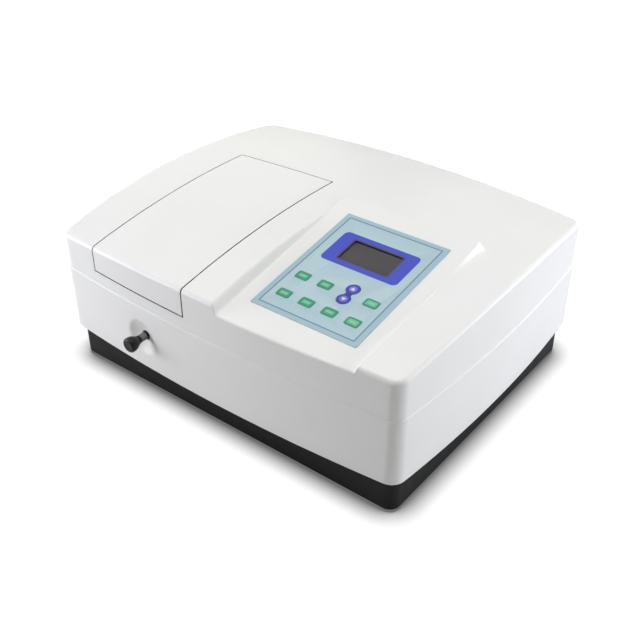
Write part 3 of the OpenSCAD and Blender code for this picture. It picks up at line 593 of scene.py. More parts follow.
# ------------------------------------------------------------------ lid and lower case
def lid_mesh():
    stations = sorted(set([LID_X1 + d for d in SOFT] + [LID_X2 - d for d in SOFT]
                          + list(np.linspace(LID_X1 + 3, LID_X2 - 3, 40))))
    rows = []
    for x in np.array(stations):
        face_y = float(front_y(x, STEP))
        edge_z = float(crown(x, face_y)) - EDGE_R
        row = [(x, face_y, LID_Z + d) for d in SOFT]
        row += [(x, face_y, z) for z in np.linspace(LID_Z + 4, edge_z, 9)]
        for angle in LID_ANGLES:
            y = float(front_y(x, STEP + EDGE_R * (1 - math.cos(angle))))
            row.append((x, y, float(crown(x, y)) - EDGE_R * (1 - math.sin(angle))))
        top_y = list(np.linspace(float(front_y(x, STEP + EDGE_R)), LID_Y2 - 2, 46)[1:])
        top_y += [LID_Y2 - d for d in reversed(SOFT)]
        row += [(x, y, float(crown(x, y))) for y in top_y]
        rows.append(row)
    verts = np.array(rows).reshape(-1, 3)
    n = len(rows[0])
    faces = [[i * n + k, (i + 1) * n + k, (i + 1) * n + k + 1, i * n + k + 1]
             for i in range(len(rows) - 1) for k in range(n - 1)]
    normals = vertex_normals(verts, faces)
    from_edge = np.minimum.reduce([verts[:, 0] - LID_X1, LID_X2 - verts[:, 0],
                                   LID_Y2 - verts[:, 1], verts[:, 2] - LID_Z])
    verts = verts - normals * soften(from_edge, SOFT_R)[:, None]
    # the inner skin stops short of the rear edge
    shift = np.zeros_like(verts)
    shift[np.abs(verts[:, 1] - LID_Y2) < 0.05, 1] = -1.6
    return verts, faces, normals, shift


ROD_GRID = [k * 0.8 for k in range(-30, 31)]      # fine grid round the rod's hole


def lower_columns():
    """Columns with the rod's grid at the front and the rear opening's sides at the back."""
    cols = columns([ROD_X + d for d in ROD_GRID])
    back = {REAR_X2, REAR_X1} | {
        round(place, 4) for kind, place in cols
        if kind == "back" and min(abs(place - REAR_X2), abs(place - REAR_X1)) > 1.0}
    first = next(k for k, col in enumerate(cols) if col[0] == "back")
    rest = [col for col in cols if col[0] != "back"]
    return rest[:first] + [("back", x) for x in sorted(back, reverse=True)] + rest[first:]


def lower_levels():
    levels = [SKIRT_Z, SKIRT_Z + 0.2, SKIRT_Z + 0.6, 43.6, 45, 50, 54, REAR_Z1, REAR_Z2,
              116.5, 118.0, 118.8, 119.2, 119.3, 119.4, 119.7, 120.0, 120.25, 120.42, SEAM_Z]
    levels = sorted(set(round(z, 4) for z in levels + [ROD_Z + d for d in ROD_GRID]))
    kept = [levels[0]]
    for z in levels[1:]:
        if z - kept[-1] >= 0.15 or z >= 117:
            kept.append(z)
        elif z in (REAR_Z1, REAR_Z2):
            kept[-1] = z
    return kept


def press_rod_bowl(verts, reach=22, bowl_r=37.0, centre_out=30.8):
    """Draw the grid to a circle round the rod's hole, then push it in as a bowl."""
    dx, dz = verts[:, 0] - ROD_X, verts[:, 2] - ROD_Z
    square, radial = np.maximum(np.abs(dx), np.abs(dz)), np.hypot(dx, dz)
    near = (square < reach) & (verts[:, 1] < FRONT_ZONE_Y)
    weight = np.where(near, np.clip((reach - square) / (reach - ROD_HOLE_R), 0, 1), 0)
    factor = 1 + weight * (square / np.maximum(radial, 1e-9) - 1)
    verts[near, 0] = ROD_X + dx[near] * factor[near]
    verts[near, 2] = ROD_Z + dz[near] * factor[near]
    verts[near, 1] = front_y(verts[near, 0], 0)
    radial = np.hypot(verts[:, 0] - ROD_X, verts[:, 2] - ROD_Z)
    front = verts[:, 1] < FRONT_ZONE_Y
    sphere = np.sqrt(np.maximum(bowl_r ** 2 - radial ** 2, 0)) - centre_out
    depth = np.where(radial < bowl_r - 0.1, sphere, -10)
    depth = smooth_max(depth, np.zeros_like(depth), 1.6)
    verts[front, 1] += np.where(radial[front] < 30, depth[front], 0)


def lower_mesh():
    cols, levels = lower_columns(), lower_levels()
    verts = []
    for col in cols:
        for z in levels:
            inset = max(STEP - (SEAM_Z - z) / 1.2, 0.0)
            if z - SKIRT_Z < 1.2:
                inset = float(soften(z - SKIRT_Z, 1.2))
            verts.append((*column_point(col, inset), z))
    verts = np.array(verts)
    press_rod_bowl(verts)

    def is_open(this, other, low, high):
        (kind, place), (other_kind, other_place) = this, other
        if kind == other_kind == "back":
            return (max(place, other_place) <= REAR_X2 + 0.001
                    and min(place, other_place) >= REAR_X1 - 0.001
                    and low >= REAR_Z1 - 0.01 and high <= REAR_Z2 + 0.01)
        return (kind == other_kind == "front"
                and abs((place + other_place) / 2 - ROD_X) < ROD_HOLE_R
                and abs((low + high) / 2 - ROD_Z) < ROD_HOLE_R)

    faces, n = [], len(levels)
    for i in range(len(cols)):
        j = (i + 1) % len(cols)
        for k in range(n - 1):
            if not is_open(cols[i], cols[j], levels[k], levels[k + 1]):
                faces.append([i * n + k, j * n + k, j * n + k + 1, i * n + k + 1])
    normals = vertex_normals(verts, faces)
    used = np.zeros(len(verts), bool)
    for face in faces:
        used[face] = True
    remap = np.cumsum(used) - 1
    faces = [[int(remap[i]) for i in face] for face in faces]
    return verts[used], faces, normals[used]


# ------------------------------------------------------------------ shaders
class Shader:
    """A material's node tree, with short ways to add to it."""
    def __init__(self, name):
        self.material = bpy.data.materials.new(name)
        self.material.use_nodes = True
        self.tree = self.material.node_tree
        self.bsdf = self.tree.nodes["Principled BSDF"]
        self.output = self.tree.nodes["Material Output"]
        self.coords = self.node("ShaderNodeTexCoord").outputs["Object"]

    def feed(self, node, values):
        """Set or link a node's inputs, given by name or index."""
        for key, value in values.items():
            socket = node.inputs[key]
            if isinstance(value, bpy.types.NodeSocket):
                self.tree.links.new(value, socket)
            else:
                socket.default_value = (*value, 1.0) if socket.type == "RGBA" else value
        return node

    def node(self, kind, inputs={}, **settings):
        node = self.tree.nodes.new(kind)
        for key, value in settings.items():
            setattr(node, key, value)
        return self.feed(node, inputs)

    def math(self, operation, *values):
        node = self.node("ShaderNodeMath", dict(enumerate(values)), operation=operation)
        return node.outputs[0]

    def noise(self, scale, detail=3.0, rough=0.55, stretch=None):
        vector = self.coords
        if stretch:
            mapping = self.node("ShaderNodeMapping", {"Scale": stretch, "Vector": vector})
            vector = mapping.outputs["Vector"]
        return self.node("ShaderNodeTexNoise", {
            "Scale": scale, "Detail": detail, "Roughness": rough, "Vector": vector,
        }).outputs["Fac"]

    def remap(self, source, low, high, from_low=0.3, from_high=0.7):
        return self.node("ShaderNodeMapRange", {
            "From Min": from_low, "From Max": from_high, "To Min": low, "To Max": high,
            "Value": source,
        }).outputs["Result"]

    def mix(self, factor, first, second):
        """Colour mix; 0, 6, 7 and 2 are the factor and colour sockets."""
        node = self.node("ShaderNodeMix", data_type="RGBA")
        return self.feed(node, {0: factor, 6: first, 7: second}).outputs[2]

    def bump(self, source, strength, depth):
        node = self.node("ShaderNodeBump", {
            "Strength": strength, "Distance": depth, "Height": source})
        self.feed(self.bsdf, {"Normal": node.outputs["Normal"]})


def dielectric(name, base, dark, rough=(0.35, 0.45), grain=900.0, bump=0.08, depth=0.00004,
               coat=0.0, spec=0.5, wear=None):
    """Plastic, paint or rubber: patchy colour, fine grain, convex edges worn to a colour."""
    m = Shader(name)
    color = m.mix(m.remap(m.noise(scale=9.0, detail=4), 0.0, 1.0), dark, base)
    color = m.mix(m.remap(m.noise(scale=grain * 0.5, detail=2), 0.0, 0.35), color, dark)
    if wear is not None:
        convex = m.node("ShaderNodeNewGeometry").outputs["Pointiness"]
        edge = m.remap(convex, 0.0, 1.0, from_low=0.53, from_high=0.62)
        patches = m.remap(m.noise(scale=160.0, detail=4), 0.0, 0.5)
        color = m.mix(m.math("MULTIPLY", edge, patches), color, wear)
    m.feed(m.bsdf, {"Base Color": color,
                    "Roughness": m.remap(m.noise(scale=60.0, detail=4), *rough),
                    "Specular IOR Level": spec})
    if coat:
        m.feed(m.bsdf, {"Coat Weight": coat, "Coat Roughness": 0.12})
    m.bump(m.noise(scale=grain, detail=3), bump, depth)
    return m.material


def metal(name, base, rough, stretch=None, grain=700.0, bump=0.06):
    """Metal with a fine grain, drawn out along one axis by stretch."""
    m = Shader(name)
    fine = m.noise(scale=grain, detail=3, rough=0.6, stretch=stretch)
    color = m.mix(m.remap(fine, 0.0, 0.5), base, tuple(0.8 * c for c in base))
    m.feed(m.bsdf, {"Base Color": color, "Metallic": 1.0, "Roughness": m.remap(fine, *rough)})
    m.bump(fine, bump, depth=0.00003)
    return m.material


def film(name, color, spread=0.03):
    """Printed film; spread sets how much darker its patches are."""
    dark = tuple(c * (1 - spread * 2) for c in color)
    return dielectric(name, color, dark, rough=(0.32, 0.4), grain=1800.0, bump=0.05,
                      depth=0.00002, spec=0.4)


def glass(name, tint, rough, weight=0.25, gain=1.0):
    """Tinted see-through sheet; gain and weight set how much it reflects."""
    m = Shader(name)
    m.tree.nodes.remove(m.bsdf)
    clear = m.node("ShaderNodeBsdfTransparent", {"Color": tint})
    gloss = m.node("ShaderNodeBsdfGlossy", {
        "Roughness": m.remap(m.noise(scale=220.0, detail=3), rough, rough * 2.5)})
    fresnel = m.node("ShaderNodeFresnel", {"IOR": 1.45})
    factor = m.math("MULTIPLY_ADD", fresnel.outputs[0], gain, weight * 0.1)
    mix = m.node("ShaderNodeMixShader", {0: factor, 1: clear.outputs[0], 2: gloss.outputs[0]})
    m.feed(m.output, {"Surface": mix.outputs[0]})
    return m.material


def display_material():
    """Dark grey display field, browner towards its border, with faint cell columns."""
    m = Shader("display_field")
    run = DISPLAY[1]
    centre = Vector((FILM_X + 0.5, FILM_Y + run * COS_TILT, plane(FILM_Y) + run * SIN_TILT))
    mapping = m.node("ShaderNodeMapping", {
        "Location": centre * MM + OFFSET, "Rotation": (TILT, 0, 0), "Vector": m.coords,
    }, vector_type="TEXTURE")
    vector = mapping.outputs["Vector"]
    axes = m.node("ShaderNodeSeparateXYZ", {0: vector}).outputs
    from_x, from_y = m.math("ABSOLUTE", axes["X"]), m.math("ABSOLUTE", axes["Y"])
    border_x = m.remap(from_x, 0.0, 1.0, from_low=0.0288, from_high=0.0306)
    border_y = m.remap(from_y, 0.0, 1.0, from_low=0.0148, from_high=0.0166)
    border = m.math("MAXIMUM", border_x, border_y)
    color = m.mix(border, (0.30, 0.30, 0.305), (0.17, 0.10, 0.12))
    wave = m.node("ShaderNodeTexWave", {"Scale": 150.0, "Vector": vector},
                  bands_direction="X")
    stripes = m.remap(wave.outputs["Fac"], 0.0, 0.06, from_low=0.0, from_high=1.0)
    m.feed(m.bsdf, {"Specular IOR Level": 0.1,
                    "Base Color": m.mix(stripes, color, (0.25, 0.25, 0.255)),
                    "Roughness": m.remap(m.noise(scale=300.0, detail=3), 0.2, 0.3)})
    return m.material


# ------------------------------------------------------------------ materials
WHITE = dielectric("moulded_white", (0.84, 0.84, 0.835), (0.81, 0.81, 0.80), rough=(0.33, 0.42),
                   grain=1100.0, bump=0.10, spec=0.45, wear=(0.9, 0.9, 0.89))
POWDER = dielectric("black_powder_coat", (0.010, 0.010, 0.0105), (0.006, 0.006, 0.0065),
                    rough=(0.5, 0.62), grain=1500.0, bump=0.35, depth=0.00008, spec=0.3,
                    wear=(0.04, 0.04, 0.04))
# matt black lining for the insides; on the rims of the lid and its opening it is also painted
# shade that darkens the gap between them
BLACK_INTERIOR_GAP_SHADE = dielectric("matt_black_interior_gap_shade", (0.022, 0.022, 0.023), (0.014, 0.014, 0.015),
                    rough=(0.7, 0.85), grain=1300.0, bump=0.3, depth=0.00006, spec=0.25)
PANEL = dielectric("rear_panel_black", (0.035, 0.035, 0.037), (0.02, 0.02, 0.021),
                   rough=(0.45, 0.6), grain=1300.0, bump=0.4, depth=0.0001, wear=(0.1, 0.1, 0.1))
RUBBER = dielectric("foot_rubber", (0.03, 0.03, 0.03), (0.018, 0.018, 0.018),
                    rough=(0.7, 0.85), grain=800.0, bump=0.3, depth=0.0001, spec=0.3)
FOAM = dielectric("seal_foam", (0.022, 0.022, 0.023), (0.008, 0.008, 0.008),
                  rough=(0.85, 0.95), grain=1400.0, bump=0.8, depth=0.0004, spec=0.2)
TUB = dielectric("tub_black", (0.028, 0.028, 0.029), (0.018, 0.018, 0.018),
                 rough=(0.55, 0.7), bump=0.3, depth=0.0001)
ANODISED = dielectric("anodised_black", (0.03, 0.03, 0.034), (0.018, 0.018, 0.02),
                      rough=(0.3, 0.42), grain=1600.0, bump=0.12, spec=0.8,
                      wear=(0.25, 0.25, 0.26))
KNOB = dielectric("knob_black", (0.007, 0.007, 0.0075), (0.004, 0.004, 0.004),
                  rough=(0.30, 0.42), grain=700.0, bump=0.06, coat=0.05, spec=0.35,
                  wear=(0.02, 0.02, 0.02))
BLACK = dielectric("black_moulding", (0.014, 0.014, 0.0145), (0.009, 0.009, 0.009),
                   rough=(0.3, 0.45), bump=0.15, depth=0.00005)
STEEL = metal("zinc_steel", (0.62, 0.62, 0.62), rough=(0.25, 0.4), stretch=(1, 1, 0.15),
              grain=500.0)
CHROME = metal("ground_steel", (0.72, 0.72, 0.73), rough=(0.1, 0.2), stretch=(1, 0.04, 1),
               grain=900.0, bump=0.05)
ROD = metal("satin_rod", (0.26, 0.26, 0.26), rough=(0.35, 0.5), stretch=(1, 0.06, 1), bump=0.05)
ZINC = metal("galvanised", (0.6, 0.61, 0.63), rough=(0.35, 0.55), grain=120.0, bump=0.05)
ALUMINIUM = metal("machined_aluminium", (0.74, 0.75, 0.76), rough=(0.25, 0.4),
                  stretch=(1, 0.1, 1), grain=600.0)
BRASS = metal("brass", (0.72, 0.53, 0.22), rough=(0.2, 0.35), stretch=(1, 0.1, 1), grain=600.0)
MIRROR = metal("mirror_face", (0.88, 0.89, 0.92), rough=(0.02, 0.06), grain=300.0, bump=0.01)
BOARD = dielectric("solder_mask", (0.02, 0.14, 0.06), (0.012, 0.09, 0.04), rough=(0.25, 0.4),
                   grain=500.0, bump=0.2, depth=0.00005)
CABLE = dielectric("cable_pvc", (0.28, 0.28, 0.3), (0.2, 0.2, 0.22), rough=(0.4, 0.5),
                   grain=600.0, bump=0.1)
CERAMIC = dielectric("lamp_ceramic", (0.8, 0.78, 0.72), (0.68, 0.66, 0.6), rough=(0.6, 0.75),
                     grain=700.0, bump=0.25)
RED = dielectric("rocker_red", (0.40, 0.02, 0.018), (0.3, 0.012, 0.01), rough=(0.2, 0.3),
                 grain=700.0, bump=0.05, coat=0.3)
FILTER = glass("order_filter", tint=(0.9, 0.45, 0.1), rough=0.02)
CELL = glass("cell_glass", tint=(0.93, 0.97, 0.97), rough=0.02, weight=0.5)
LENS = glass("display_lens", tint=(0.80, 0.79, 0.79), rough=0.05, weight=0.0, gain=0.22)
FILM = film("overlay_film", (0.435, 0.592, 0.648))
LINE = film("overlay_line", (0.135, 0.255, 0.38))
MARGIN = film("overlay_edge", (0.37, 0.53, 0.595))
BEZEL = film("display_frame_blue", (0.062, 0.082, 0.55), spread=0.04)
BORDER = film("display_border_ink", (0.085, 0.068, 0.115), spread=0.05)
GREEN_RIM = film("key_green_rim", (0.040, 0.315, 0.165), spread=0.04)
GREEN_FACE = film("key_green_face", (0.115, 0.48, 0.275), spread=0.04)
GREEN_PALE = film("key_green_pale", (0.155, 0.50, 0.32), spread=0.04)
KEY_MARK = film("key_mark", (0.24, 0.60, 0.40))
BLUE = film("key_blue", (0.045, 0.05, 0.40), spread=0.04)
BLUE_CENTRE = film("key_blue_centre", (0.20, 0.21, 0.66), spread=0.04)
ARROW = film("key_arrow", (0.78, 0.80, 0.92), spread=0.02)
DISPLAY_FIELD = display_material()

# frame piece: material, bevel width (mm)
CAD_LOOKS = {
    "base_pan": (POWDER, 0.9), "rubber_feet": (RUBBER, 0.8), "case_screws": (STEEL, 0.2),
    "rear_panel": (PANEL, 0.25), "lid_hinge_pin": (CHROME, 0.2), "hinge_bracket": (STEEL, 0.3),
    "lid_seal": (FOAM, 0.8), "compartment_tub": (TUB, 0.5), "guide_rails": (CHROME, 0.2),
    "cell_carriage": (ANODISED, 0.5), "cuvettes": (CELL, 0.15), "pull_rod": (ROD, 0.3),
    "rod_bushing": (BLACK, 0.35), "detent_leaf": (STEEL, 0.2),
    "lcd_module": (DISPLAY_FIELD, 0.2), "tact_switches": (BLACK, 0.2),
    "keypad_board": (BOARD, 0.2), "main_board": (BOARD, 0.2), "power_supply": (ZINC, 0.5),
    "fan_frame": (BLACK, 0.5), "fan_rotor": (BLACK, 0.3), "finger_guard": (CHROME, 0.0),
    "power_inlet": (BLACK, 0.5), "rocker_switch": (RED, 0.7), "serial_port": (STEEL, 0.3),
    "wiring_harness": (CABLE, 0.2), "bench_plate": (ALUMINIUM, 0.4), "lamp_house": (ZINC, 0.4),
    "lamp_socket": (CERAMIC, 0.2), "lamp_bulb": (CELL, 0.2), "condenser_lens": (CELL, 0.2),
    "mono_base": (ANODISED, 0.8), "mono_cover": (ANODISED, 0.8),
    "slit_plates": (ALUMINIUM, 0.2), "mono_mirrors": (MIRROR, 0.2),
    "grating_table": (ALUMINIUM, 0.3), "grating": (MIRROR, 0.2), "lead_screw": (STEEL, 0.2),
    "drive_nut": (BRASS, 0.4), "stepper_motor": (BLACK, 0.5), "filter_wheel": (ANODISED, 0.2),
    "order_filters": (FILTER, 0.2), "filter_motor": (BLACK, 0.2), "detector_box": (TUB, 0.5),
    "photodiode": (ALUMINIUM, 0.2),
}


def dress_cad():
    for name, (mat, width) in CAD_LOOKS.items():
        ob = NODES[name]
        if not ob.material_slots:
            ob.data.materials.append(mat)
        for slot in ob.material_slots:
            slot.link = "OBJECT"
            slot.material = mat
        ob.modifiers.new("weld", "WELD").merge_threshold = 1e-6
        if width:
            bevel = ob.modifiers.new("bevel", "BEVEL")
            bevel.width = width * MM
            bevel.segments = 2
            bevel.limit_method = "ANGLE"
            bevel.angle_limit = math.radians(50)
            bevel.harden_normals = False
            bevel.use_clamp_overlap = True
        weighted = ob.modifiers.new("wn", "WEIGHTED_NORMAL")
        weighted.keep_sharp = False
        weighted.weight = 50


# ------------------------------------------------------------------ case mouldings
def moulding(name, replaces, body, mesh_parts, wall, mats, lining_and_shade_above=None):
    """Shell moulding; its inner skin, and its rim above the given height (mm), take the second
    material: a black lining that is also painted shade in the gap round the lid.
    """
    verts, all_faces = shell(wall, *mesh_parts)
    ob = make_obj(name, verts * MM, all_faces, mats)
    mesh, n = ob.data, len(mesh_parts[1])
    if lining_and_shade_above is not None:
        for k, poly in enumerate(mesh.polygons):
            if n <= k < 2 * n or k >= 2 * n and poly.center.z > lining_and_shade_above * MM:
                poly.material_index = 1
    normals = np.vstack([mesh_parts[2], -mesh_parts[2]])
    # faces of the rim keep their own flat normal
    loops = np.zeros((len(mesh.loops), 3))
    for k, poly in enumerate(mesh.polygons):
        for i in range(poly.loop_start, poly.loop_start + poly.loop_total):
            loops[i] = normals[mesh.loops[i].vertex_index] if k < 2 * n else poly.normal
    mesh.normals_split_custom_set([tuple(v) for v in loops])
    fit(ob, body, replaces)


def case():
    # the black second material on the cover's and lid's rims is also painted shade in the gap
    # round the lid
    moulding("upper_cover_moulding", "upper_cover", "housing", cover_mesh(), WALL,
             [WHITE, BLACK_INTERIOR_GAP_SHADE], lining_and_shade_above=SEAM_Z + 2)
    moulding("sample_lid_moulding", "sample_lid", "lid", lid_mesh(), LID_WALL,
             [WHITE, BLACK_INTERIOR_GAP_SHADE], lining_and_shade_above=0)
    moulding("lower_case_moulding", "lower_case", "housing", lower_mesh(), WALL, [WHITE])


# ------------------------------------------------------------------ console pieces
CONSOLE = (Matrix.Translation(Vector((FILM_X, FILM_Y, plane(FILM_Y))) * MM)
           @ Matrix.Rotation(TILT, 4, "X"))


def fit_console(ob, body="housing", replaces=None):
    """Lay a flat piece on the console's slope and fit it."""
    ob.data.transform(CONSOLE)
    fit(ob, body, replaces)


def loft(name, loops, mats, bands):
    """Solid from loops of (points, height); bands has a material index per band and the top."""
    verts = [(x * MM, y * MM, z * MM) for points, z in loops for x, y in points]
    n = len(loops[0][0])
    faces = [(k * n + i, k * n + (i + 1) % n, (k + 1) * n + (i + 1) % n, (k + 1) * n + i)
             for k in range(len(loops) - 1) for i in range(n)]
    indices = [bands[k] for k in range(len(loops) - 1) for _ in range(n)]
    faces += [tuple(reversed(range(n))), tuple(range((len(loops) - 1) * n, len(loops) * n))]
    indices += [bands[0], bands[-1]]
    ob = make_obj(name, verts, faces, mats)
    for poly, index in zip(ob.data.polygons, indices):
        poly.material_index = index
    auto_smooth(ob, 40)
    return ob


def contains(loop, x, y):
    inside = False
    for k in range(len(loop)):
        (x1, y1), (x2, y2) = loop[k], loop[(k + 1) % len(loop)]
        if (y1 > y) != (y2 > y) and x < (x2 - x1) * (y - y1) / (y2 - y1) + x1:
            inside = not inside
    return inside


def plate(name, outer, holes, bottom, height, mat, soft_edge=0):
    """Flat plate with holes, with a small rounded arris on its top edges if asked."""
    points, edges = [], []
    for loop in [outer] + list(holes):
        add_chain(points, edges, loop, closed=True)
    found, _, triangles, *_ = delaunay_2d_cdt(points, edges, [], 0, 1e-6)
    plan = np.array([[v[0], v[1]] for v in found])
    faces = []
    for face in triangles:
        x, y = plan[list(face)].mean(0)
        if not contains(outer, x, y) or any(contains(hole, x, y) for hole in holes):
            continue
        clockwise = doubled_area(*[plan[i] for i in face[:3]]) < 0
        faces.append(list(reversed(face)) if clockwise else list(face))
    top_verts = np.column_stack([plan, np.full(len(plan), height)])
    normals = np.tile([0.0, 0, 1.0], (len(plan), 1))
    verts, all_faces = shell(height - bottom, top_verts, faces, normals)
    ob = make_obj(name, verts * MM, all_faces, [mat])
    bm = bmesh.new()
    bm.from_mesh(ob.data)
    bmesh.ops.dissolve_limit(bm, angle_limit=0.01, verts=bm.verts, edges=bm.edges)
    if soft_edge:
        rim = [e for e in bm.edges if len(e.link_faces) == 2 and e.calc_face_angle(0) > 1.0
               and min(v.co.z for v in e.verts) > (height - 1e-3) * MM]
        bmesh.ops.bevel(bm, geom=rim, offset=soft_edge * MM, segments=2, profile=0.5,
                        affect="EDGES", clamp_overlap=True)
    bm.to_mesh(ob.data)
    bm.free()
    auto_smooth(ob, 35)
    return ob


def printed(name, outer, holes, height, mat, bottom=FILM_T, body="housing"):
    """Thin layer of print."""
    fit_console(plate(name, outer, holes, bottom, height, mat), body)


def overlay():
    """Film with its cut-outs, and the margin, line and frame printed on it."""
    holes = [rounded_rect(62.7, 34.6, 2.2, 5, *DISPLAY)]
    holes += [rounded_rect(15.6, 10.6, 2.0, 5, *place) for place in KEYS.values()]
    holes += [circle(7.5, 56, *place) for place in ROUND_KEYS.values()]
    sheet = plate("overlay_film", rounded_rect(FILM_W, FILM_L, 1.2, 4), holes, 0.0, FILM_T,
                  FILM, soft_edge=0.2)
    fit_console(sheet, replaces="graphic_overlay")
    width, length, line = FILM_W - 11.5, FILM_L - 10.5, 2.9
    inner = rounded_rect(width, length, 0.8, 3)
    printed("overlay_print_line", inner, [rounded_rect(width - line, length - line, 0.3, 3)],
            0.84, LINE)
    printed("overlay_print_margin", rounded_rect(FILM_W - 0.5, FILM_L - 0.5, 1.0, 4), [inner],
            0.83, MARGIN)
    printed("overlay_display_frame", rounded_rect(93.2, 49.0, 5.5, 8, 0.2, 31.1),
            [rounded_rect(63.3, 35.2, 2.5, 5, *DISPLAY)], 0.86, BEZEL)


def display():
    """Clear window and the dark border printed round it."""
    outline = rounded_rect(62.2, 34.0, 2.0, 5, *DISPLAY)
    chamfered = rounded_rect(61.9, 33.7, 1.9, 5, *DISPLAY)
    window = loft("display_window", [(outline, -0.6), (outline, 0.45), (chamfered, 0.6)],
                  [LENS], [0, 0])
    fit_console(window, replaces="lcd_window")
    printed("display_border", rounded_rect(63.6, 35.4, 2.4, 5, *DISPLAY),
            [rounded_rect(59.4, 31.4, 0.8, 4, 0.45, 31.2)], 0.87, BORDER,
            bottom=0.82)


WIDE_FACED = ("key_enter", "key_print")
# key cap from its stem up to the embossed rim: inset, corner radius, height
CAP_RIM = [(0, 1.9, -5.6), (0, 1.9, -4.6), (-1.2, 2.0, -4.6), (-1.2, 2.0, -3.4), (0, 1.9, -3.4),
           (0, 1.9, 0.75), (0.12, 1.85, 1.0), (0.4, 1.7, 1.14), (0.8, 1.5, 1.19)]
# the rest of its top, in the same columns
WIDE_FACE = [(1.7, 1.0, 1.2), (1.72, 1.0, 1.2), (2.1, 0.9, 1.16), (4.2, 0.4, 1.13)]
SMALL_FACE = [(2.5, 0.9, 1.2), (2.55, 0.9, 1.195), (2.9, 0.8, 1.16), (4.2, 0.4, 1.13)]
# round key: radius, height
ROUND_CAP = [(7.3, -5.6), (7.3, -4.6), (7.9, -4.6), (7.9, -3.4), (7.3, -3.4), (7.3, 0.7),
             (7.2, 0.95), (6.95, 1.1), (6.5, 1.19), (5.6, 1.2), (5.2, 1.17), (4.3, 1.14),
             (4.2, 1.14), (3.0, 1.12), (0.5, 1.1)]


def key(name, x, y):
    """Embossed cap, a darker rim round a paler face, with a plain bar on it."""
    wide = name in WIDE_FACED
    loops = [(rounded_rect(15.2 - 2 * inset, 10.2 - 2 * inset, radius, 5, x, y), z)
             for inset, radius, z in CAP_RIM + (WIDE_FACE if wide else SMALL_FACE)]
    cap = loft(name + "_cap_film", loops, [GREEN_RIM, GREEN_PALE if wide else GREEN_FACE],
               [0] * 9 + [1] * 4)
    fit_console(cap, name + "_cap", name)
    width, length = (7.2, 2.6) if wide else (7.4, 1.7)
    outline = rounded_rect(width, length, 0.5, 3, x, y)
    chamfered = rounded_rect(width - 0.1, length - 0.1, 0.5, 3, x, y)
    bar = loft(name + "_mark", [(outline, 1.1), (outline, 1.17), (chamfered, 1.19)],
               [KEY_MARK], [0, 0])
    fit_console(bar, name + "_cap")


def round_key(name, x, y):
    """Round cap with a paler centre and an arrow."""
    cap = loft(name + "_cap_film", [(circle(radius, 56, x, y), z) for radius, z in ROUND_CAP],
               [BLUE, BLUE_CENTRE], [0] * 12 + [1] * 3)
    fit_console(cap, name + "_cap", name)
    way = 1 if name == "key_up" else -1
    arrow = [(x - 2.4, y - 1.5 * way), (x + 2.4, y - 1.5 * way), (x, y + 2.2 * way)][::way]
    printed(name + "_arrow", arrow, [], 1.2, ARROW, bottom=1.08,
            body=name + "_cap")


def round_key_waist():
    """Print that joins the two round keys."""
    outline = []
    for name, start, end in (("key_up", -120, -60), ("key_down", 60, 120)):
        x = ROUND_KEYS["key_up"][0]
        y = ROUND_KEYS[name][1]
        outline += [(x + 7.52 * math.cos(a), y + 7.52 * math.sin(a))
                    for a in np.radians(np.linspace(start, end, 13))]
    printed("round_key_waist", outline, [], 0.86, BLUE)


def console():
    overlay()
    display()
    for name, place in KEYS.items():
        key(name, *place)
    for name, place in ROUND_KEYS.items():
        round_key(name, *place)
    round_key_waist()
    for name, place in KEYS.items():
        printed(name + "_surround", rounded_rect(16.3, 11.3, 2.4, 5, *place),
                [rounded_rect(15.5, 10.5, 2.0, 5, *place)], 0.84, GREEN_RIM)


# ------------------------------------------------------------------ knob
KNOB_Y = -192.0
# distance forward of KNOB_Y, radius: the outside, then the blind hole for the rod
KNOB_OUTSIDE = [
    (0.0, 3.05), (0.0, 3.9), (0.12, 4.2), (0.4, 4.42), (1.2, 4.66), (2.4, 4.88), (3.4, 5.15),
    (4.6, 5.65), (6.0, 6.4), (7.4, 7.15), (8.8, 7.82), (10.0, 8.2), (11.2, 8.43), (12.2, 8.5),
    (14.0, 8.5), (14.9, 8.38), (15.7, 8.1), (16.3, 7.6), (16.75, 6.8), (16.95, 5.9),
    (17.0, 5.0), (16.9, 4.2), (16.8, 3.0), (16.8, 1.0), (16.8, 0.02),
]
KNOB_HOLE = [(0.0, 3.02), (11.0, 3.02), (11.0, 0.02)]


def knob(n=96):
    """Turned knob that flares to a wide, rounded end."""
    verts = []
    for forward, radius in KNOB_OUTSIDE + KNOB_HOLE:
        for k in range(n):
            angle = 2 * math.pi * k / n
            verts.append(((ROD_X + radius * math.sin(angle)) * MM, (KNOB_Y - forward) * MM,
                          (ROD_Z + radius * math.cos(angle)) * MM))
    base = len(KNOB_OUTSIDE) * n
    around = [(k, (k + 1) % n) for k in range(n)]
    faces = [(i + k, i + n + k, i + n + j, i + j)
             for i in range(0, base - n, n) for k, j in around]
    faces += [(i + k, i + j, i + n + j, i + n + k)
              for i in (base, base + n) for k, j in around]
    faces += [(k, j, base + j, base + k) for k, j in around]
    faces.append(tuple(base - n + k for k in reversed(range(n))))
    faces.append(tuple(base + 2 * n + k for k in range(n)))
    ob = make_obj("rod_knob_turned", verts, faces, [KNOB])
    bm = bmesh.new()
    bm.from_mesh(ob.data)
    bmesh.ops.recalc_face_normals(bm, faces=bm.faces)
    bm.to_mesh(ob.data)
    bm.free()
    auto_smooth(ob, 35)
    fit(ob, "changer", "rod_knob")


# ------------------------------------------------------------------ stage (metres)
ROOM = 0.02                 # world strength for everything but the camera
FLOOR_AO = (0.50, 0.955)    # occlusion range that runs from shadow to white
WATTS = 10.0                # power of a panel of strength 1
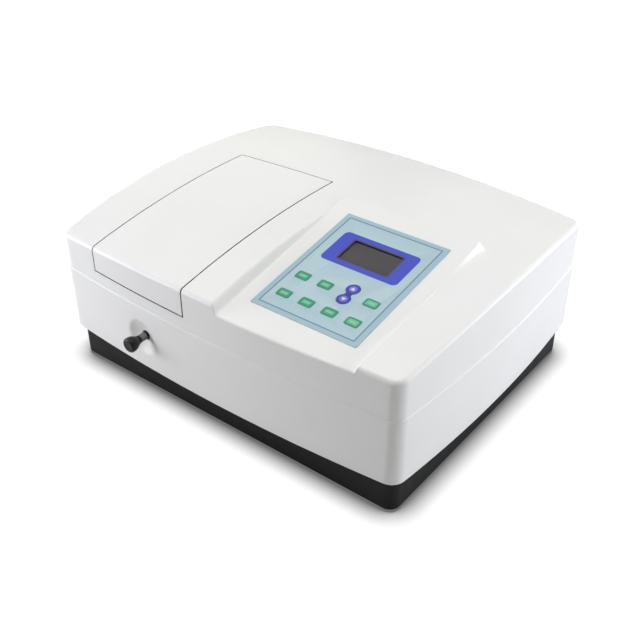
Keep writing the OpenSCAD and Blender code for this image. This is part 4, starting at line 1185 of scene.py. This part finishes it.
# soft panels: name, azimuth, elevation (degrees), distance, width, height, strength per channel
LIGHTS = [
    ("back_right_low", 44, 4, 1.6, 1.0, 0.35, (0.98, 1.02, 1.14)),
    ("right", 9, 20, 1.6, 0.8, 0.5, (0.86, 0.86, 0.86)),
    ("front_left_low", 220, 8, 1.4, 1.0, 0.7, (1.36, 1.36, 1.40)),
    ("front_left", 215, 22, 1.4, 0.7, 0.5, (0.06, 0.08, 0.13)),
    ("front_low", 258, 6, 1.5, 0.5, 0.4, (0.09, 0.08, 0.06)),
    ("back_low", 90, 8, 1.6, 1.2, 0.5, (0.12, 0.12, 0.08)),
    ("back", 90, 35, 1.6, 1.2, 0.6, (0.14, 0.14, 0.15)),
    ("top_left", 180, 60, 1.7, 1.2, 1.0, (0.56, 0.56, 0.55)),
    ("top_back", 90, 60, 1.7, 1.2, 1.0, (0.25, 0.29, 0.36)),
    ("top", 90, 89, 1.7, 1.2, 1.0, (1.64, 1.58, 1.53)),
    ("top_right", 0, 60, 1.7, 1.2, 1.0, (0.06, 0.09, 0.05)),
    ("left_back", 140, 18, 1.6, 0.9, 0.5, (0.17, 0.17, 0.14)),
]
CAMERA_PLACE = Vector((0.56387, -0.72982, 0.67264))
CAMERA_AIM = Vector((-0.5062, 0.6524, -0.5641))


def floor_material():
    """The camera sees white with a contact shadow; everything else sees a pale floor."""
    m = Shader("floor_white")
    color = m.mix(m.remap(m.noise(scale=3.0, detail=3), 0.0, 1.0),
                  (0.60, 0.60, 0.61), (0.64, 0.64, 0.65))
    m.feed(m.bsdf, {"Base Color": color, "Roughness": 0.9, "Specular IOR Level": 0.0})
    path = m.node("ShaderNodeLightPath")
    occlusion = m.node("ShaderNodeAmbientOcclusion", {"Distance": 0.030}, samples=24)
    lit = m.remap(occlusion.outputs["AO"], 0.0, 1.0, *FLOOR_AO)
    emission = m.node("ShaderNodeEmission", {
        "Color": m.mix(lit, (0.15, 0.15, 0.148), (1.02, 1.02, 1.02))})
    mix = m.node("ShaderNodeMixShader", {
        0: path.outputs["Is Camera Ray"], 1: m.bsdf.outputs[0], 2: emission.outputs[0]})
    m.feed(m.output, {"Surface": mix.outputs[0]})
    return m.material


def add_floor():
    mesh = bpy.data.meshes.new("floor")
    bm = bmesh.new()
    bmesh.ops.create_grid(bm, x_segments=8, y_segments=8, size=6.0)
    bm.to_mesh(mesh)
    bm.free()
    ob = bpy.data.objects.new("floor", mesh)
    bpy.context.scene.collection.objects.link(ob)
    mesh.materials.append(floor_material())


def add_world():
    """Dim room that looks white to the camera."""
    world = bpy.data.worlds.new("studio")
    bpy.context.scene.world = world
    world.use_nodes = True
    tree = world.node_tree
    background = tree.nodes["Background"]
    path = tree.nodes.new("ShaderNodeLightPath")
    strength = tree.nodes.new("ShaderNodeMapRange")
    strength.inputs["To Min"].default_value = ROOM
    strength.inputs["To Max"].default_value = 1.0
    tree.links.new(path.outputs["Is Camera Ray"], strength.inputs["Value"])
    tree.links.new(strength.outputs["Result"], background.inputs["Strength"])
    background.inputs["Color"].default_value = (1.0, 1.0, 1.0, 1)


def add_lights():
    for name, azimuth, elevation, distance, width, height, strength in LIGHTS:
        a, e = math.radians(azimuth), math.radians(elevation)
        place = Vector((distance * math.cos(a) * math.cos(e),
                        distance * math.sin(a) * math.cos(e), distance * math.sin(e) + 0.05))
        peak = max(strength)
        light = bpy.data.lights.new(name, "AREA")
        light.shape = "RECTANGLE"
        light.size, light.size_y = width, height
        light.energy = WATTS * peak
        light.color = [channel / peak for channel in strength]
        ob = bpy.data.objects.new(name, light)
        ob.location = place + OFFSET
        ob.rotation_euler = (Vector((0, 0, 0.1)) - place).to_track_quat("-Z", "Y").to_euler()
        ob.visible_camera = False
        bpy.context.scene.collection.objects.link(ob)


def add_camera():
    camera = bpy.data.cameras.new("cam")
    camera.sensor_fit = "HORIZONTAL"
    camera.sensor_width = 36.0
    camera.lens = 53.73
    camera.clip_start, camera.clip_end = 0.01, 50
    ob = bpy.data.objects.new("cam", camera)
    aim = CAMERA_AIM.normalized()
    right = aim.cross(Vector((0, 0, 1))).normalized()
    up = right.cross(aim)
    place = CAMERA_PLACE + OFFSET
    ob.matrix_world = Matrix([(right[k], up[k], -aim[k], place[k]) for k in range(3)]
                             + [(0, 0, 0, 1)])
    scene = bpy.context.scene
    scene.collection.objects.link(ob)
    scene.camera = ob


def stage():
    add_floor()
    add_world()
    add_lights()
    add_camera()
    view = bpy.context.scene.view_settings
    view.view_transform = "Standard"
    view.look = "None"


case()
console()
knob()
dress_cad()
stage()
